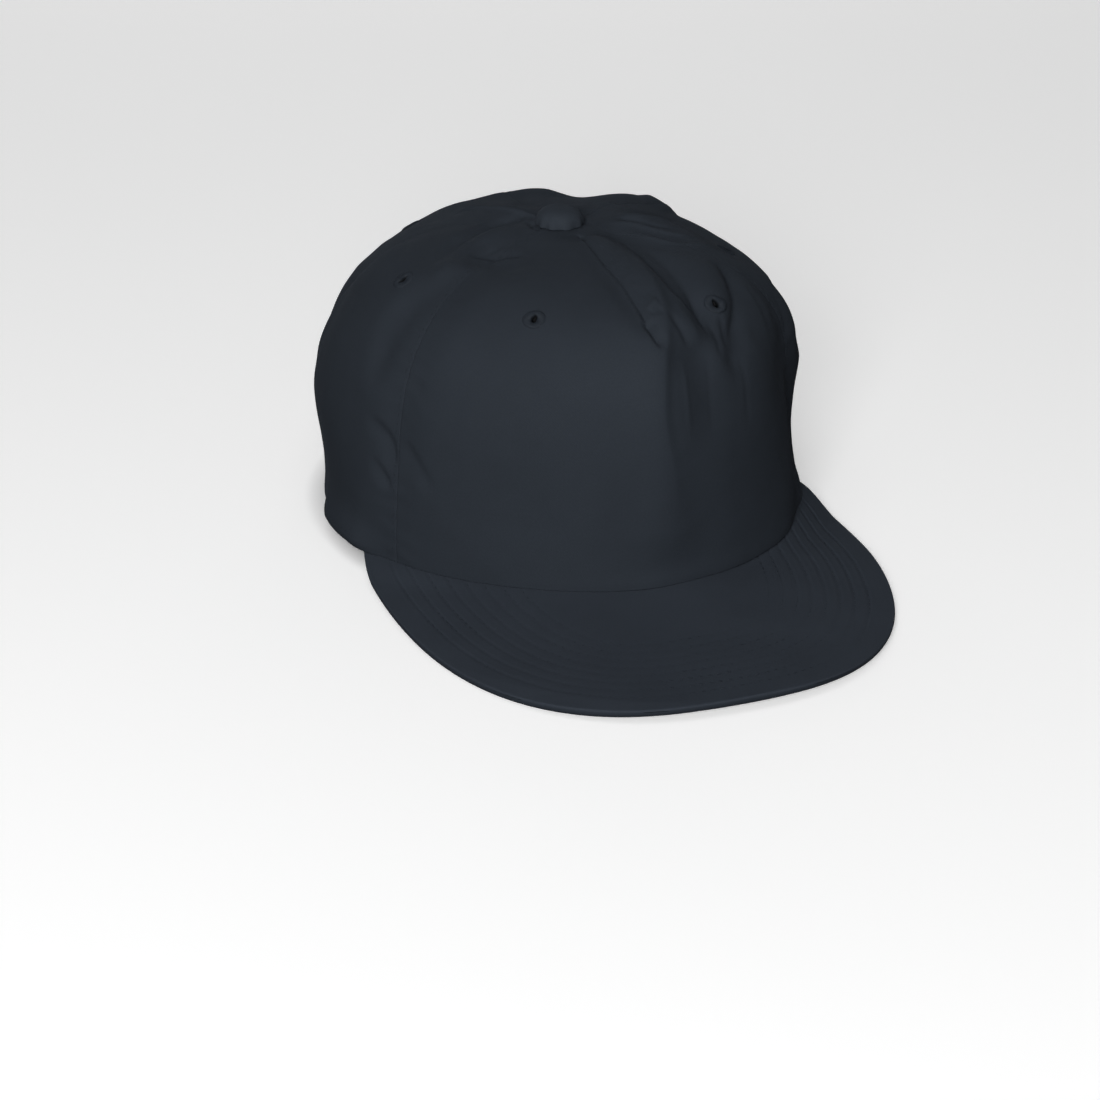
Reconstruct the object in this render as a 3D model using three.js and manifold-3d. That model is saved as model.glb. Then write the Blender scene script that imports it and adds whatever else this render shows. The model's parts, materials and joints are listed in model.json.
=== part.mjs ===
// A five-panel surf cap as it rests on a flat surface, in millimetres and degrees, with +Z up.
// The front of the cap faces -Y and the wearer's left is +X. The origin lies on the surface, under
// the middle of the cap. The rear rim and the peak's two front corners touch the surface.
//
// A place on the crown is given by two angles: around, which is 0 at the front, positive towards
// the wearer's left and 180 at the back, and rise, which is 0 at the rim and 90 at the top.
import * as THREE from "three";
import { mergeVertices } from "three/addons/utils/BufferGeometryUtils.js";
import Module from "manifold-3d";

const wasm = await Module();
wasm.setup();

// Crown: the oval of its rim, its height and how square its upright sections are
const crownHalfWidth = 91;
const crownFrontDepth = 99;
const crownBackDepth = 103;
const crownHeight = 105.7;
const crownCentreY = 36.5;
const frontRoundness = 1.8;
const backRoundness = 2;
const frontSquareness = 5.4;
const sideSquareness = 3.04;
const backSquareness = 2.9;
const topSquareness = 3.12;
const squarenessFade = 1.5;
// Behind the peak's ends the rim is drawn in towards the head, and the crown bulges over it
const rimTuck = { depth: 5.4, fromAround: 62, toAround: 100, fullBelow: 4, goneAbove: 27 };

// Cloth: wall, sweatband and the gap that is left between sewn pieces
const clothThickness = 1.6;
const sweatbandThickness = 1.4;
const pieceGap = 0.3;
const bandGap = 0.55;

// Peak: its length in front of the crown, half width, thickness, slope and arch across
const peakLength = 73.5;
const peakHalfWidth = 87.2;
const peakThickness = 3.2;
const peakEndThickness = 1.8;
const peakSlope = 2.8;
const peakArch = 5.8;
const peakEndForward = 32.5;
const peakShoulder = 23.5;
const peakOutlineRoundness = 2.49;
const peakUnderCrown = 2.0;
// Its rim is rounded: how far each ring of the mesh lies inside the outline, and its share of the
// half thickness
const peakEdge = [
  { inset: 2.4, share: 1 },
  { inset: 0.7, share: 0.86 },
  { inset: 0, share: 0.4 },
];
// Where the peak is narrow, the rounded rim takes at most this share of its width
const peakEdgeShare = 0.6;
const peakStations = 45;
const peakFlatSteps = 5;
// The rim starts to fall this far behind the peak's ends, and is down this far before the closure
const rimFall = { after: 5, before: 6 };

// Panels: the seams between them and the mesh that each one has
const seamDip = { depth: 1.5, halfWidth: 8, fullAt: 24, fadesFrom: 74, goneAt: 88 };
const panelPuff = 0.6;
const panels = [
  { name: "front_panel", from: -57.5, to: 57.5, columns: 36, colour: 0x2e333b },
  { name: "side_panel_right", from: -119, to: -57.5, columns: 14, colour: 0x2c3138 },
  { name: "side_panel_left", from: 57.5, to: 119, columns: 14, colour: 0x2c3138 },
  { name: "back_panel_right", from: -180, to: -119, columns: 14, colour: 0x2b3037 },
  { name: "back_panel_left", from: 119, to: 180, columns: 14, colour: 0x2b3037 },
];
const panelRows = 17;
const crownHoleRadius = 3.5;

// The main folds and dents: three places that each one runs through, its half width and its height,
// which is negative where the cloth sinks
const folds = [
  { name: "front keel", places: [[1.5, 47], [1.5, 24], [1.5, 4]], width: 10, height: 1.8 },
  { name: "centre dart", places: [[7, 81], [1, 66], [1, 48]], width: 4, height: -1.2 },
  { name: "shoulder valley", places: [[40, 77], [22, 63], [18, 46]], width: 7, height: -3.0 },
  { name: "roll beside the dart", places: [[16, 76], [10, 63], [10, 48]], width: 6, height: 1.6 },
  { name: "fold below the eyelet", places: [[46, 52], [33, 46], [21, 38]], width: 6, height: -2.6 },
  { name: "upright fold", places: [[15, 44], [15, 26], [16, 8]], width: 8, height: 1.2 },
  { name: "hollow of the left front", places: [[50, 30], [60, 20], [74, 10]], width: 24, height: -6.0 },
  { name: "roll of the left side", places: [[64, 36], [74, 31], [86, 26]], width: 13, height: 2.0 },
  { name: "hollow of the left side", places: [[88, 16], [108, 14], [130, 12]], width: 20, height: -1.5 },
  { name: "sag of the left crown", places: [[78, 54], [90, 56], [104, 60]], width: 15, height: -3.0 },
  { name: "roll of the left back", places: [[120, 66], [126, 58], [130, 48]], width: 15, height: 2.4 },
  { name: "sag of the left back", places: [[156, 72], [153, 62], [148, 52]], width: 16, height: -3.4 },
  { name: "sag of the right back", places: [[-158, 62], [-142, 54], [-122, 44]], width: 24, height: -2.8 },
  { name: "hollow of the right side", places: [[-96, 14], [-108, 12], [-124, 10]], width: 20, height: -1.5 },
  { name: "pocket of the right front", places: [[-66, 68], [-50, 65], [-35, 73]], width: 9, height: -2.4 },
];
const foldSteps = 12;

// Top button, eyelets, sweatband and the rear closure
const buttonRadius = 7.4;
const buttonHeight = 4.2;
const buttonStemRadius = 2.6;
const buttonStemLength = 3.4;
const buttonUndersideShare = 0.93;
const buttonDome = { from: 11, sideFlatness: 0.7, topFlatness: 0.8 };
const eyeletRadius = 4.5;
const eyeletHoleRadius = 1.3;
const eyeletProud = 0.7;
// An eyelet's ring in section: each point's distance from the hole's wall or from the outer edge,
// and its height over the cloth in shares of how proud the ring stands
const eyeletRounding = { hole: 0.6, rim: 0.4, crest: 0.3, crestShare: 0.4 };
const eyelets = [
  { name: "eyelet_front_right", around: -26.5, rise: 50 },
  { name: "eyelet_front_left", around: 27.5, rise: 49.2 },
  { name: "eyelet_side_right", around: -79.5, rise: 52.5 },
  { name: "eyelet_side_left", around: 79.5, rise: 52.5 },
  { name: "eyelet_back_right", around: -148, rise: 50 },
  { name: "eyelet_back_left", around: 148, rise: 50 },
];
const sweatbandRows = 4;
const sweatbandLift = 1.0;
const closureEnd = 144;
const strapGap = 0.4;
const openingHalfWidth = 42;
const openingHeight = 44;
const strapBottom = 2.2;
const strapWidth = 18;
const strapThickness = 1.4;
const sliderAround = 168;
const sliderHalfSpan = 5;
const sliderWall = 1.3;

const circleSides = 24;
const eyeletSides = 12;
const archSides = 12;
const domeSteps = 5;
const strapSections = 20;
const sliderSections = 4;
// Longer than the cap, for what cuts straight through it
const reach = 400;
// Cloth, thread and plastic scatter light more or less
const clothRoughness = 0.88;
const threadRoughness = 0.7;
const plasticRoughness = 0.45;
const clothColour = 0x2b3037;
const peakColour = 0x2c3139;
const buttonColour = 0x30363d;
const threadColour = 0x282d34;
const plasticColour = 0x1b1e22;

const radians = THREE.MathUtils.degToRad;
const mix = THREE.MathUtils.lerp;

// A direction as its angle from the front, from 0 to 180 on either side
function turnFromFront(around) {
  return Math.abs(THREE.MathUtils.euclideanModulo(around + 180, 360) - 180);
}

// Distance from the oval's centre to its edge in the direction around: a superellipse, deeper and
// rounder behind than in front
function ovalRadius(around) {
  const sideways = Math.sin(radians(around));
  const forwards = Math.cos(radians(around));
  const backness = THREE.MathUtils.smoothstep(-forwards, 0, 1);
  const roundness = mix(frontRoundness, backRoundness, backness);
  const depth = mix(crownFrontDepth, crownBackDepth, backness);
  const across = Math.abs(sideways / crownHalfWidth) ** roundness;
  const along = Math.abs(forwards / depth) ** roundness;
  return (across + along) ** (-1 / roundness);
}

function ovalPoint(around) {
  const radius = ovalRadius(around);
  return new THREE.Vector2(radius * Math.sin(radians(around)), -radius * Math.cos(radians(around)));
}

// Half width of the oval where the peak ends, and the direction of that end
const peakEndHalfWidth = crownHalfWidth
  * (1 - (peakEndForward / crownFrontDepth) ** frontRoundness) ** (1 / frontRoundness);
const peakEndAround = THREE.MathUtils.radToDeg(Math.atan2(peakEndHalfWidth, peakEndForward));

// Height of the peak's top over its ends: it slopes down forwards and is arched across
function peakShape(x, forward) {
  const arch = peakArch * (1 - (x / peakEndHalfWidth) ** 2);
  return arch - Math.tan(radians(peakSlope)) * (forward - peakEndForward);
}

// The peak's outer edge from the wearer's right to the left: two short curves out of its ends and
// a superellipse round the front
function peakOutline() {
  const points = [];
  const shoulderForward = peakEndForward + peakShoulder;
  const tipForward = crownFrontDepth + peakLength;
  const sideSteps = 12;
  const frontSteps = 96;
  for (let step = 0; step < sideSteps; step += 1) {
    const part = step / sideSteps;
    const x = peakEndHalfWidth + (peakHalfWidth - peakEndHalfWidth) * Math.sin(part * Math.PI / 2);
    points.push(new THREE.Vector2(-x, peakEndForward + peakShoulder * part));
  }
  for (let step = 0; step <= frontSteps; step += 1) {
    const turn = Math.PI * (step / frontSteps - 0.5);
    const side = Math.abs(Math.sin(turn)) ** (2 / peakOutlineRoundness);
    const front = Math.abs(Math.cos(turn)) ** (2 / peakOutlineRoundness);
    const x = peakHalfWidth * Math.sign(Math.sin(turn)) * side;
    points.push(new THREE.Vector2(x, shoulderForward + (tipForward - shoulderForward) * front));
  }
  for (let step = sideSteps - 1; step >= 0; step -= 1) {
    const mirrored = points[step];
    points.push(new THREE.Vector2(-mirrored.x, mirrored.y));
  }
  return points;
}

function steps(from, to, count) {
  return Array.from({ length: count + 1 }, (_, step) => from + (to - from) * step / count);
}

// Points at equal distances along a line of points
function spacedAlong(points, count) {
  const lengths = [0];
  for (let index = 1; index < points.length; index += 1) {
    lengths.push(lengths[index - 1] + points[index].distanceTo(points[index - 1]));
  }
  const total = lengths[lengths.length - 1];
  const spaced = [];
  let index = 1;
  for (let step = 0; step < count; step += 1) {
    const wanted = total * step / (count - 1);
    while (index < points.length - 1 && lengths[index] < wanted) {
      index += 1;
    }
    const part = (wanted - lengths[index - 1]) / (lengths[index] - lengths[index - 1]);
    spaced.push(points[index - 1].clone().lerp(points[index], part));
  }
  return spaced;
}

// A closed solid through a row of closed sections with equally many points. The first half of a
// section's points faces the second half, which runs back, and the two end sections are filled
// between the halves.
function loftedSolid(sections) {
  const size = sections[0].length;
  const positions = sections.flat().flatMap((point) => [point.x, point.y, point.z]);
  const index = [];
  const quad = (a, b, c, d) => index.push(a, b, c, a, c, d);
  for (let row = 0; row < sections.length - 1; row += 1) {
    for (let step = 0; step < size; step += 1) {
      const next = (step + 1) % size;
      quad(row * size + step, (row + 1) * size + step, (row + 1) * size + next, row * size + next);
    }
  }
  const last = (sections.length - 1) * size;
  for (let step = 0; step < size / 2 - 1; step += 1) {
    const back = size - 1 - step;
    quad(step, step + 1, back - 1, back);
    quad(last + step, last + back, last + back - 1, last + step + 1);
  }
  const geometry = new THREE.BufferGeometry();
  geometry.setAttribute("position", new THREE.Float32BufferAttribute(positions, 3));
  geometry.setIndex(index);
  return geometry;
}

// Where the rings of one section of the peak lie, as parts of its run from the crown to the edge
function peakRings(run) {
  const rounded = Math.min(peakEdge[0].inset / run, peakEdgeShare);
  const flat = steps(0, 1 - rounded, peakFlatSteps).slice(0, -1).map((part) => ({ part, share: 1 }));
  const edge = peakEdge.map(({ inset, share }) => {
    return { part: 1 - rounded * inset / peakEdge[0].inset, share };
  });
  return flat.concat(edge);
}

// Sections of the peak as if its ends stood on the surface
function peakSections() {
  const inner = steps(-peakEndAround, peakEndAround, peakStations - 1).map((around) => {
    const point = ovalPoint(around);
    const length = point.length();
    return new THREE.Vector2(point.x, -point.y).multiplyScalar(1 - peakUnderCrown / length);
  });
  const outer = spacedAlong(peakOutline(), peakStations);
  return inner.map((start, station) => {
    const run = outer[station].distanceTo(start);
    const rings = peakRings(run);
    const fullness = THREE.MathUtils.smoothstep(run, 0, peakShoulder);
    const thickness = mix(peakEndThickness, peakThickness, fullness);
    const place = (ring, side) => {
      const flat = start.clone().lerp(outer[station], ring.part);
      const middle = peakShape(flat.x, flat.y) - thickness / 2;
      const height = middle + side * ring.share * thickness / 2;
      return new THREE.Vector3(flat.x, crownCentreY - flat.y, height);
    };
    const top = rings.map((ring) => place(ring, 1));
    const bottom = rings.map((ring) => place(ring, -1));
    return bottom.concat(top.reverse());
  });
}

const unseatedPeak = peakSections();
const peakSeat = -Math.min(...unseatedPeak.flat().map((point) => point.z));

// Height of the crown's rim: on the peak in front, and from its ends down to the surface behind
function rimHeight(around) {
  const turned = turnFromFront(around);
  if (turned <= peakEndAround) {
    const point = ovalPoint(around);
    return peakSeat + pieceGap + peakShape(point.x, -point.y);
  }
  const level = Math.cos(radians(closureEnd - rimFall.before));
  const end = Math.cos(radians(peakEndAround + rimFall.after));
  const part = (Math.cos(radians(turned)) - level) / (end - level);
  return (peakSeat + pieceGap) * THREE.MathUtils.clamp(part, 0, 1);
}

// How much of its distance from the middle the rim's tuck takes away at a place
function tuckShare(around, rise) {
  const behind = THREE.MathUtils.smoothstep(turnFromFront(around), rimTuck.fromAround, rimTuck.toAround);
  const low = 1 - THREE.MathUtils.smoothstep(rise, rimTuck.fullBelow, rimTuck.goneAbove);
  return behind * low * rimTuck.depth / ovalRadius(around);
}

// Share of the crown's width and of its height at a rise, from a superellipse that is squarer in
// front than at the sides and rounder again near the top
function sectionShares(around, rise) {
  const along = Math.cos(radians(around));
  const front = Math.max(along, 0) ** squarenessFade;
  const back = Math.max(-along, 0) ** squarenessFade;
  const wall = sideSquareness + (frontSquareness - sideSquareness) * front
    + (backSquareness - sideSquareness) * back;
  const level = Math.cos(radians(rise));
  const upright = Math.sin(radians(rise));
  const squareness = topSquareness + (wall - topSquareness) * level ** 2;
  const scale = (level ** squareness + upright ** squareness) ** (-1 / squareness);
  return { width: scale * level * (1 - tuckShare(around, rise)), height: scale * upright };
}

// The crown without its puffs and folds
function smoothPoint(around, rise) {
  const rim = ovalPoint(around);
  const { width, height } = sectionShares(around, rise);
  const z = rimHeight(around) * (1 - height) + crownHeight * height;
  return new THREE.Vector3(rim.x * width, crownCentreY + rim.y * width, z);
}

// A surface's outward direction, from two small steps over it
function outwardDirection(surface, around, rise) {
  const step = 0.05;
  const here = surface(around, rise);
  const sideways = surface(around + step, rise).sub(here);
  const upwards = surface(around, rise + step).sub(here);
  const outward = sideways.cross(upwards);
  if (rise === 0) {
    outward.z = 0;
  }
  return outward.normalize();
}

// Each fold's line over the smooth crown, a curve through its three places
const foldLines = folds.map(({ places: [start, middle, end], width, height }) => {
  const line = [];
  for (let step = 0; step <= foldSteps; step += 1) {
    const part = step / foldSteps;
    const blend = (axis) => start[axis] * (1 - part) * (1 - 2 * part)
      + middle[axis] * 4 * part * (1 - part) + end[axis] * part * (2 * part - 1);
    line.push(smoothPoint(blend(0), blend(1)));
  }
  return { line, width, height };
});

function distanceToLine(point, line) {
  const nearest = new THREE.Vector3();
  let distance = Infinity;
  for (let index = 1; index < line.length; index += 1) {
    new THREE.Line3(line[index - 1], line[index]).closestPointToPoint(point, true, nearest);
    distance = Math.min(distance, nearest.distanceTo(point));
  }
  return distance;
}

// How far the cloth stands proud of the smooth crown: each panel puffs out a little and sinks in a
// bell curve at its seams, and each fold raises or sinks it by a bell curve across the fold's line
function proudness(around, rise, point) {
  const reachOut = ovalRadius(around) * Math.cos(radians(rise));
  const offSeam = Math.min(...panels.map(({ from }) => radians(turnFromFront(around - from))));
  const dip = seamDip.depth * THREE.MathUtils.smoothstep(rise, 0, seamDip.fullAt)
    * Math.exp(-((offSeam * reachOut / seamDip.halfWidth) ** 2));
  const open = 1 - THREE.MathUtils.smoothstep(rise, seamDip.fadesFrom, seamDip.goneAt);
  return foldLines.reduce((sum, { line, width, height }) => {
    const distance = distanceToLine(point, line);
    return distance > 3 * width ? sum : sum + height * Math.exp(-((distance / width) ** 2));
  }, (panelPuff - dip) * open);
}

function clothPoint(around, rise) {
  const point = smoothPoint(around, rise);
  const outward = outwardDirection(smoothPoint, around, rise);
  return point.addScaledVector(outward, proudness(around, rise, point));
}

// A place at a depth inside the crown's outer face
function placeInside(around, rise, depth) {
  const outward = outwardDirection(clothPoint, around, rise);
  return clothPoint(around, rise).addScaledVector(outward, -depth);
}

const topRise = 90 - THREE.MathUtils.radToDeg(crownHoleRadius / crownHalfWidth);
const riseOfRow = (row) => topRise * row / (panelRows - 1);

// One panel between its two seams, which stand half a gap back from the seams' own directions
function panelGeometry({ from, to, columns }) {
  const sections = [];
  for (let column = 0; column <= columns; column += 1) {
    const side = 2 * column / columns - 1;
    const outer = [];
    const inner = [];
    for (let row = 0; row < panelRows; row += 1) {
      const rise = riseOfRow(row);
      const middle = (from + to) / 2;
      const radius = ovalRadius(middle + side * (to - from) / 2) * sectionShares(middle, rise).width;
      const halfSpan = (to - from) / 2 - THREE.MathUtils.radToDeg(pieceGap / 2 / radius);
      outer.push(placeInside(middle + side * halfSpan, rise, 0));
      inner.push(placeInside(middle + side * halfSpan, rise, clothThickness));
    }
    sections.push(outer.concat(inner.reverse()));
  }
  return loftedSolid(sections);
}

// A band that follows the crown's inside between two directions and two depths
function bandGeometry(arounds, rises, outerDepth, thickness, lift) {
  const sections = arounds.map((around) => {
    const raised = (depth) => rises.map((rise, row) => {
      const point = placeInside(around, rise, depth);
      point.z += row === 0 ? lift : 0;
      return point;
    });
    return raised(outerDepth).concat(raised(outerDepth + thickness).reverse());
  });
  return loftedSolid(sections);
}

// The place at a height z and a depth inside the crown's outer face, on the facets of the panels
function placeAtHeight(around, z, depth) {
  let row = 1;
  while (placeInside(around, riseOfRow(row), depth).z < z) {
    row += 1;
  }
  const below = placeInside(around, riseOfRow(row - 1), depth);
  const above = placeInside(around, riseOfRow(row), depth);
  return below.clone().lerp(above, (z - below.z) / (above.z - below.z));
}

// A level band inside the back of the crown, as the strap and its slider are
function levelBandGeometry(arounds, bottom, top, outerDepth, thickness) {
  const heights = steps(bottom, top, 2);
  const sections = arounds.map((around) => {
    const face = (depth) => heights.map((z) => placeAtHeight(around, z, depth));
    return face(outerDepth).concat(face(outerDepth + thickness).reverse());
  });
  return loftedSolid(sections);
}

// Joins and cuts
function toSolid(geometry) {
  const bare = geometry.clone();
  bare.deleteAttribute("normal");
  bare.deleteAttribute("uv");
  const merged = mergeVertices(bare);
  return new wasm.Manifold(new wasm.Mesh({
    numProp: 3,
    vertProperties: new Float32Array(merged.attributes.position.array),
    triVerts: new Uint32Array(merged.index.array),
  }));
}

function toGeometry(solid) {
  const { vertProperties, triVerts } = solid.getMesh();
  const geometry = new THREE.BufferGeometry();
  geometry.setAttribute("position", new THREE.Float32BufferAttribute(vertProperties, 3));
  geometry.setIndex(new THREE.Uint32BufferAttribute(triVerts, 1));
  return geometry;
}

// Turns a shape with its axis along +Y so that the axis stands out of the crown at an eyelet
function seatOnCrown(geometry, { around, rise }) {
  const outward = outwardDirection(clothPoint, around, rise);
  const turn = new THREE.Quaternion().setFromUnitVectors(new THREE.Vector3(0, 1, 0), outward);
  const place = clothPoint(around, rise);
  return geometry.applyMatrix4(new THREE.Matrix4().compose(place, turn, new THREE.Vector3(1, 1, 1)));
}

function eyeletCutter(eyelet) {
  const depth = 5 * clothThickness;
  return toSolid(seatOnCrown(new THREE.CylinderGeometry(
    eyeletRadius + pieceGap,
    eyeletRadius + pieceGap,
    depth,
    eyeletSides,
  ), eyelet));
}

// The arched opening above the strap, cut straight through the back
function openingCutter() {
  const arch = new THREE.Shape();
  arch.moveTo(-openingHalfWidth, -reach);
  arch.lineTo(-openingHalfWidth, 0);
  arch.absellipse(0, 0, openingHalfWidth, openingHeight, Math.PI, 0, true);
  arch.lineTo(openingHalfWidth, -reach);
  const block = new THREE.ExtrudeGeometry(arch, {
    depth: reach,
    bevelEnabled: false,
    curveSegments: archSides,
  });
  block.rotateX(Math.PI / 2);
  block.translate(0, crownCentreY + reach, 0);
  return toSolid(block);
}

// An eyelet is a thread-bound ring, rounded inside and out, as thick as the cloth and a little more
function eyeletGeometry() {
  const bottom = -clothThickness - eyeletProud / 2;
  const waist = -clothThickness / 2;
  const { hole, rim, crest, crestShare } = eyeletRounding;
  const profile = [
    [eyeletHoleRadius, waist],
    [eyeletHoleRadius + hole, bottom],
    [eyeletRadius - rim, bottom],
    [eyeletRadius, waist],
    [eyeletRadius - crest, eyeletProud * crestShare],
    [(eyeletRadius + eyeletHoleRadius) / 2, eyeletProud],
    [eyeletHoleRadius + crest, eyeletProud * crestShare],
    [eyeletHoleRadius, waist],
  ].map(([radius, height]) => new THREE.Vector2(radius, height));
  return new THREE.LatheGeometry(profile, eyeletSides);
}

// The button is a covered dome, a superellipse in section, with a stem through the hole that the
// panels leave at the top
function buttonGeometry() {
  const seat = crownHeight + pieceGap;
  const profile = [[0, seat - buttonStemLength], [buttonStemRadius, seat - buttonStemLength]];
  profile.push([buttonStemRadius, seat], [buttonRadius * buttonUndersideShare, seat]);
  for (const turn of steps(buttonDome.from, 90, domeSteps).slice(0, -1)) {
    const outwards = Math.cos(radians(turn)) ** buttonDome.sideFlatness;
    const upwards = Math.sin(radians(turn)) ** buttonDome.topFlatness;
    profile.push([buttonRadius * outwards, seat + buttonHeight * upwards]);
  }
  profile.push([0, seat + buttonHeight]);
  const points = profile.map(([radius, height]) => new THREE.Vector2(radius, height));
  const geometry = new THREE.LatheGeometry(points, circleSides);
  geometry.rotateX(Math.PI / 2);
  geometry.translate(0, crownCentreY, 0);
  return geometry;
}

const cap = new THREE.Group();

function addPiece(name, geometry, colour, roughness) {
  const material = new THREE.MeshStandardMaterial({ color: colour, roughness, metalness: 0 });
  const mesh = new THREE.Mesh(geometry, material);
  mesh.name = name;
  cap.add(mesh);
}

const isInside = (panel, { around }) => around > panel.from && around < panel.to;
const opening = openingCutter();

for (const panel of panels) {
  let solid = toSolid(panelGeometry(panel));
  for (const eyelet of eyelets.filter((one) => isInside(panel, one))) {
    solid = solid.subtract(eyeletCutter(eyelet));
  }
  if (panel.name.startsWith("back")) {
    solid = solid.subtract(opening);
  }
  addPiece(panel.name, toGeometry(solid), panel.colour, clothRoughness);
}

for (const eyelet of eyelets) {
  addPiece(eyelet.name, seatOnCrown(eyeletGeometry(), eyelet), threadColour, threadRoughness);
}

const peak = loftedSolid(unseatedPeak);
peak.translate(0, 0, peakSeat);
addPiece("peak", peak, peakColour, clothRoughness);
addPiece("top_button", buttonGeometry(), buttonColour, clothRoughness);

const bandDepth = clothThickness + bandGap;
const sweatbandRises = Array.from({ length: sweatbandRows }, (_, row) => riseOfRow(row));
// The sweatband's sections stand at the panels' columns, so that its facets keep the gap to theirs
const columnArounds = panels.flatMap(({ from, to, columns }) => steps(from, to, columns).slice(1));
const sweatbandArounds = [-closureEnd, closureEnd]
  .concat(columnArounds.filter((around) => Math.abs(around) < closureEnd))
  .sort((a, b) => a - b);
const sweatband = bandGeometry(
  sweatbandArounds,
  sweatbandRises,
  bandDepth,
  sweatbandThickness,
  sweatbandLift,
);
addPiece("sweatband", sweatband, clothColour, clothRoughness);

const strapStart = closureEnd + strapGap;
const strap = levelBandGeometry(
  steps(strapStart, 360 - strapStart, strapSections),
  strapBottom,
  strapBottom + strapWidth,
  bandDepth,
  strapThickness,
);
addPiece("rear_strap", strap, clothColour, clothRoughness);

// The slider is a sleeve round the strap, with a slot cut through a body that is half as long
const sliderArounds = (halfSpan, count) => steps(sliderAround - halfSpan, sliderAround + halfSpan, count);
const sliderBody = levelBandGeometry(
  sliderArounds(sliderHalfSpan, sliderSections),
  strapBottom - pieceGap - sliderWall,
  strapBottom + strapWidth + pieceGap + sliderWall,
  bandDepth - pieceGap - sliderWall,
  strapThickness + 2 * (pieceGap + sliderWall),
);
const sliderSlot = levelBandGeometry(
  sliderArounds(2 * sliderHalfSpan, 2 * sliderSections),
  strapBottom - pieceGap,
  strapBottom + strapWidth + pieceGap,
  bandDepth - pieceGap,
  strapThickness + 2 * pieceGap,
);
const slider = toGeometry(toSolid(sliderBody).subtract(toSolid(sliderSlot)));
addPiece("strap_slider", slider, plasticColour, plasticRoughness);

export default cap;
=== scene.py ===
"""A dark surf cap with a wide darted front, resting on a pale studio floor.

Lengths are millimetres and angles are degrees until a mesh is made, which is in metres. The front
of the cap faces -Y and the wearer's left is +X. A place on the crown is given by two angles:
around, which is 0 at the front, positive towards the wearer's left and 180 at the back, and rise,
which is 0 at the rim and 90 at the top.
"""

import json
import logging
import math
from dataclasses import dataclass
from enum import Enum
from typing import Callable

import bmesh
import bpy
import numpy as np
from mathutils import Matrix, Vector

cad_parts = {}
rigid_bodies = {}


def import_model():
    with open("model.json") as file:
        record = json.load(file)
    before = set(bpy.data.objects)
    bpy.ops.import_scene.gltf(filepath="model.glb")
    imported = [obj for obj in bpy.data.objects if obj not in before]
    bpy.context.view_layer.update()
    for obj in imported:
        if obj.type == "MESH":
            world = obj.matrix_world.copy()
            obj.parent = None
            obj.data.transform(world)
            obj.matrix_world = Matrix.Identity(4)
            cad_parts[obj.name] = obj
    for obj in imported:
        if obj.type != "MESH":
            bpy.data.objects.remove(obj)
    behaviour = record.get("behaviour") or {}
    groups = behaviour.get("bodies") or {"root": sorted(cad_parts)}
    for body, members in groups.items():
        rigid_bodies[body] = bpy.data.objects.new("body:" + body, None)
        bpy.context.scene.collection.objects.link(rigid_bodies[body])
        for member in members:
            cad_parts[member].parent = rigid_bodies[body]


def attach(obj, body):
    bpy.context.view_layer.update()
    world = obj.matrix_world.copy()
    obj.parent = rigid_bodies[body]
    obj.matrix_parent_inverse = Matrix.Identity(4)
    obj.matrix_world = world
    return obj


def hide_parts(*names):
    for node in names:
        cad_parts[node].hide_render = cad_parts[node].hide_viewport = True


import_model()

LOG = logging.getLogger("surf_cap")
METRES = 0.001
BODY = "root"
PHOTO_PIXELS = 1100
SPREAD_SAMPLES = 4000
TINY = 1e-6
NO_LENGTH = 1e-12

Array = np.ndarray
Surface = Callable[[Array, Array], Array]
Track = tuple[tuple[float, float], ...]
Material = bpy.types.Material
Socket = bpy.types.NodeSocket


def sine(degrees: Array) -> Array:
    """The sine of an angle in degrees."""
    return np.sin(np.radians(degrees))


def cosine(degrees: Array) -> Array:
    """The cosine of an angle in degrees."""
    return np.cos(np.radians(degrees))


def ramp(low: float, high: float, value: Array) -> Array:
    """An even ramp from 0 at low to 1 at high, 3t^2 - 2t^3 of the share t between them.

    Args:
        low: The value at which the ramp starts.
        high: The value at which it ends.
        value: The values to look up.

    Returns:
        The ramp's heights, from 0 to 1.
    """
    share = np.clip((value - low) / (high - low), 0.0, 1.0)
    return share * share * (3.0 - 2.0 * share)


def mix(start: Array, end: Array, share: Array) -> Array:
    """Start where share is 0, end where it is 1, and in a straight line between."""
    return start + (end - start) * share


def turn_from_front(around: Array) -> Array:
    """A direction as its angle from the front, from 0 to 180 on either side."""
    return np.abs((around + 180.0) % 360.0 - 180.0)


def unit(vectors: Array) -> Array:
    """Vectors of length 1 along the last axis."""
    return vectors / np.maximum(np.linalg.norm(vectors, axis=-1, keepdims=True), NO_LENGTH)


def grid_normals(points: Array) -> Array:
    """Outward directions of a grid of points, the cross product of its two steps at each point.

    Args:
        points: A grid whose first axis goes towards the wearer's left and the second upwards.

    Returns:
        Directions of length 1, of the grid's shape.
    """
    return unit(np.cross(np.gradient(points, axis=0), np.gradient(points, axis=1)))


def rim_normals(points: Array) -> Array:
    """Outward directions of a grid of the crown whose first row is its rim, level there.

    Args:
        points: The grid.

    Returns:
        Directions of length 1, of the grid's shape.
    """
    outward = grid_normals(points)
    outward[:, 0, 2] = 0.0
    return unit(outward)


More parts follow.
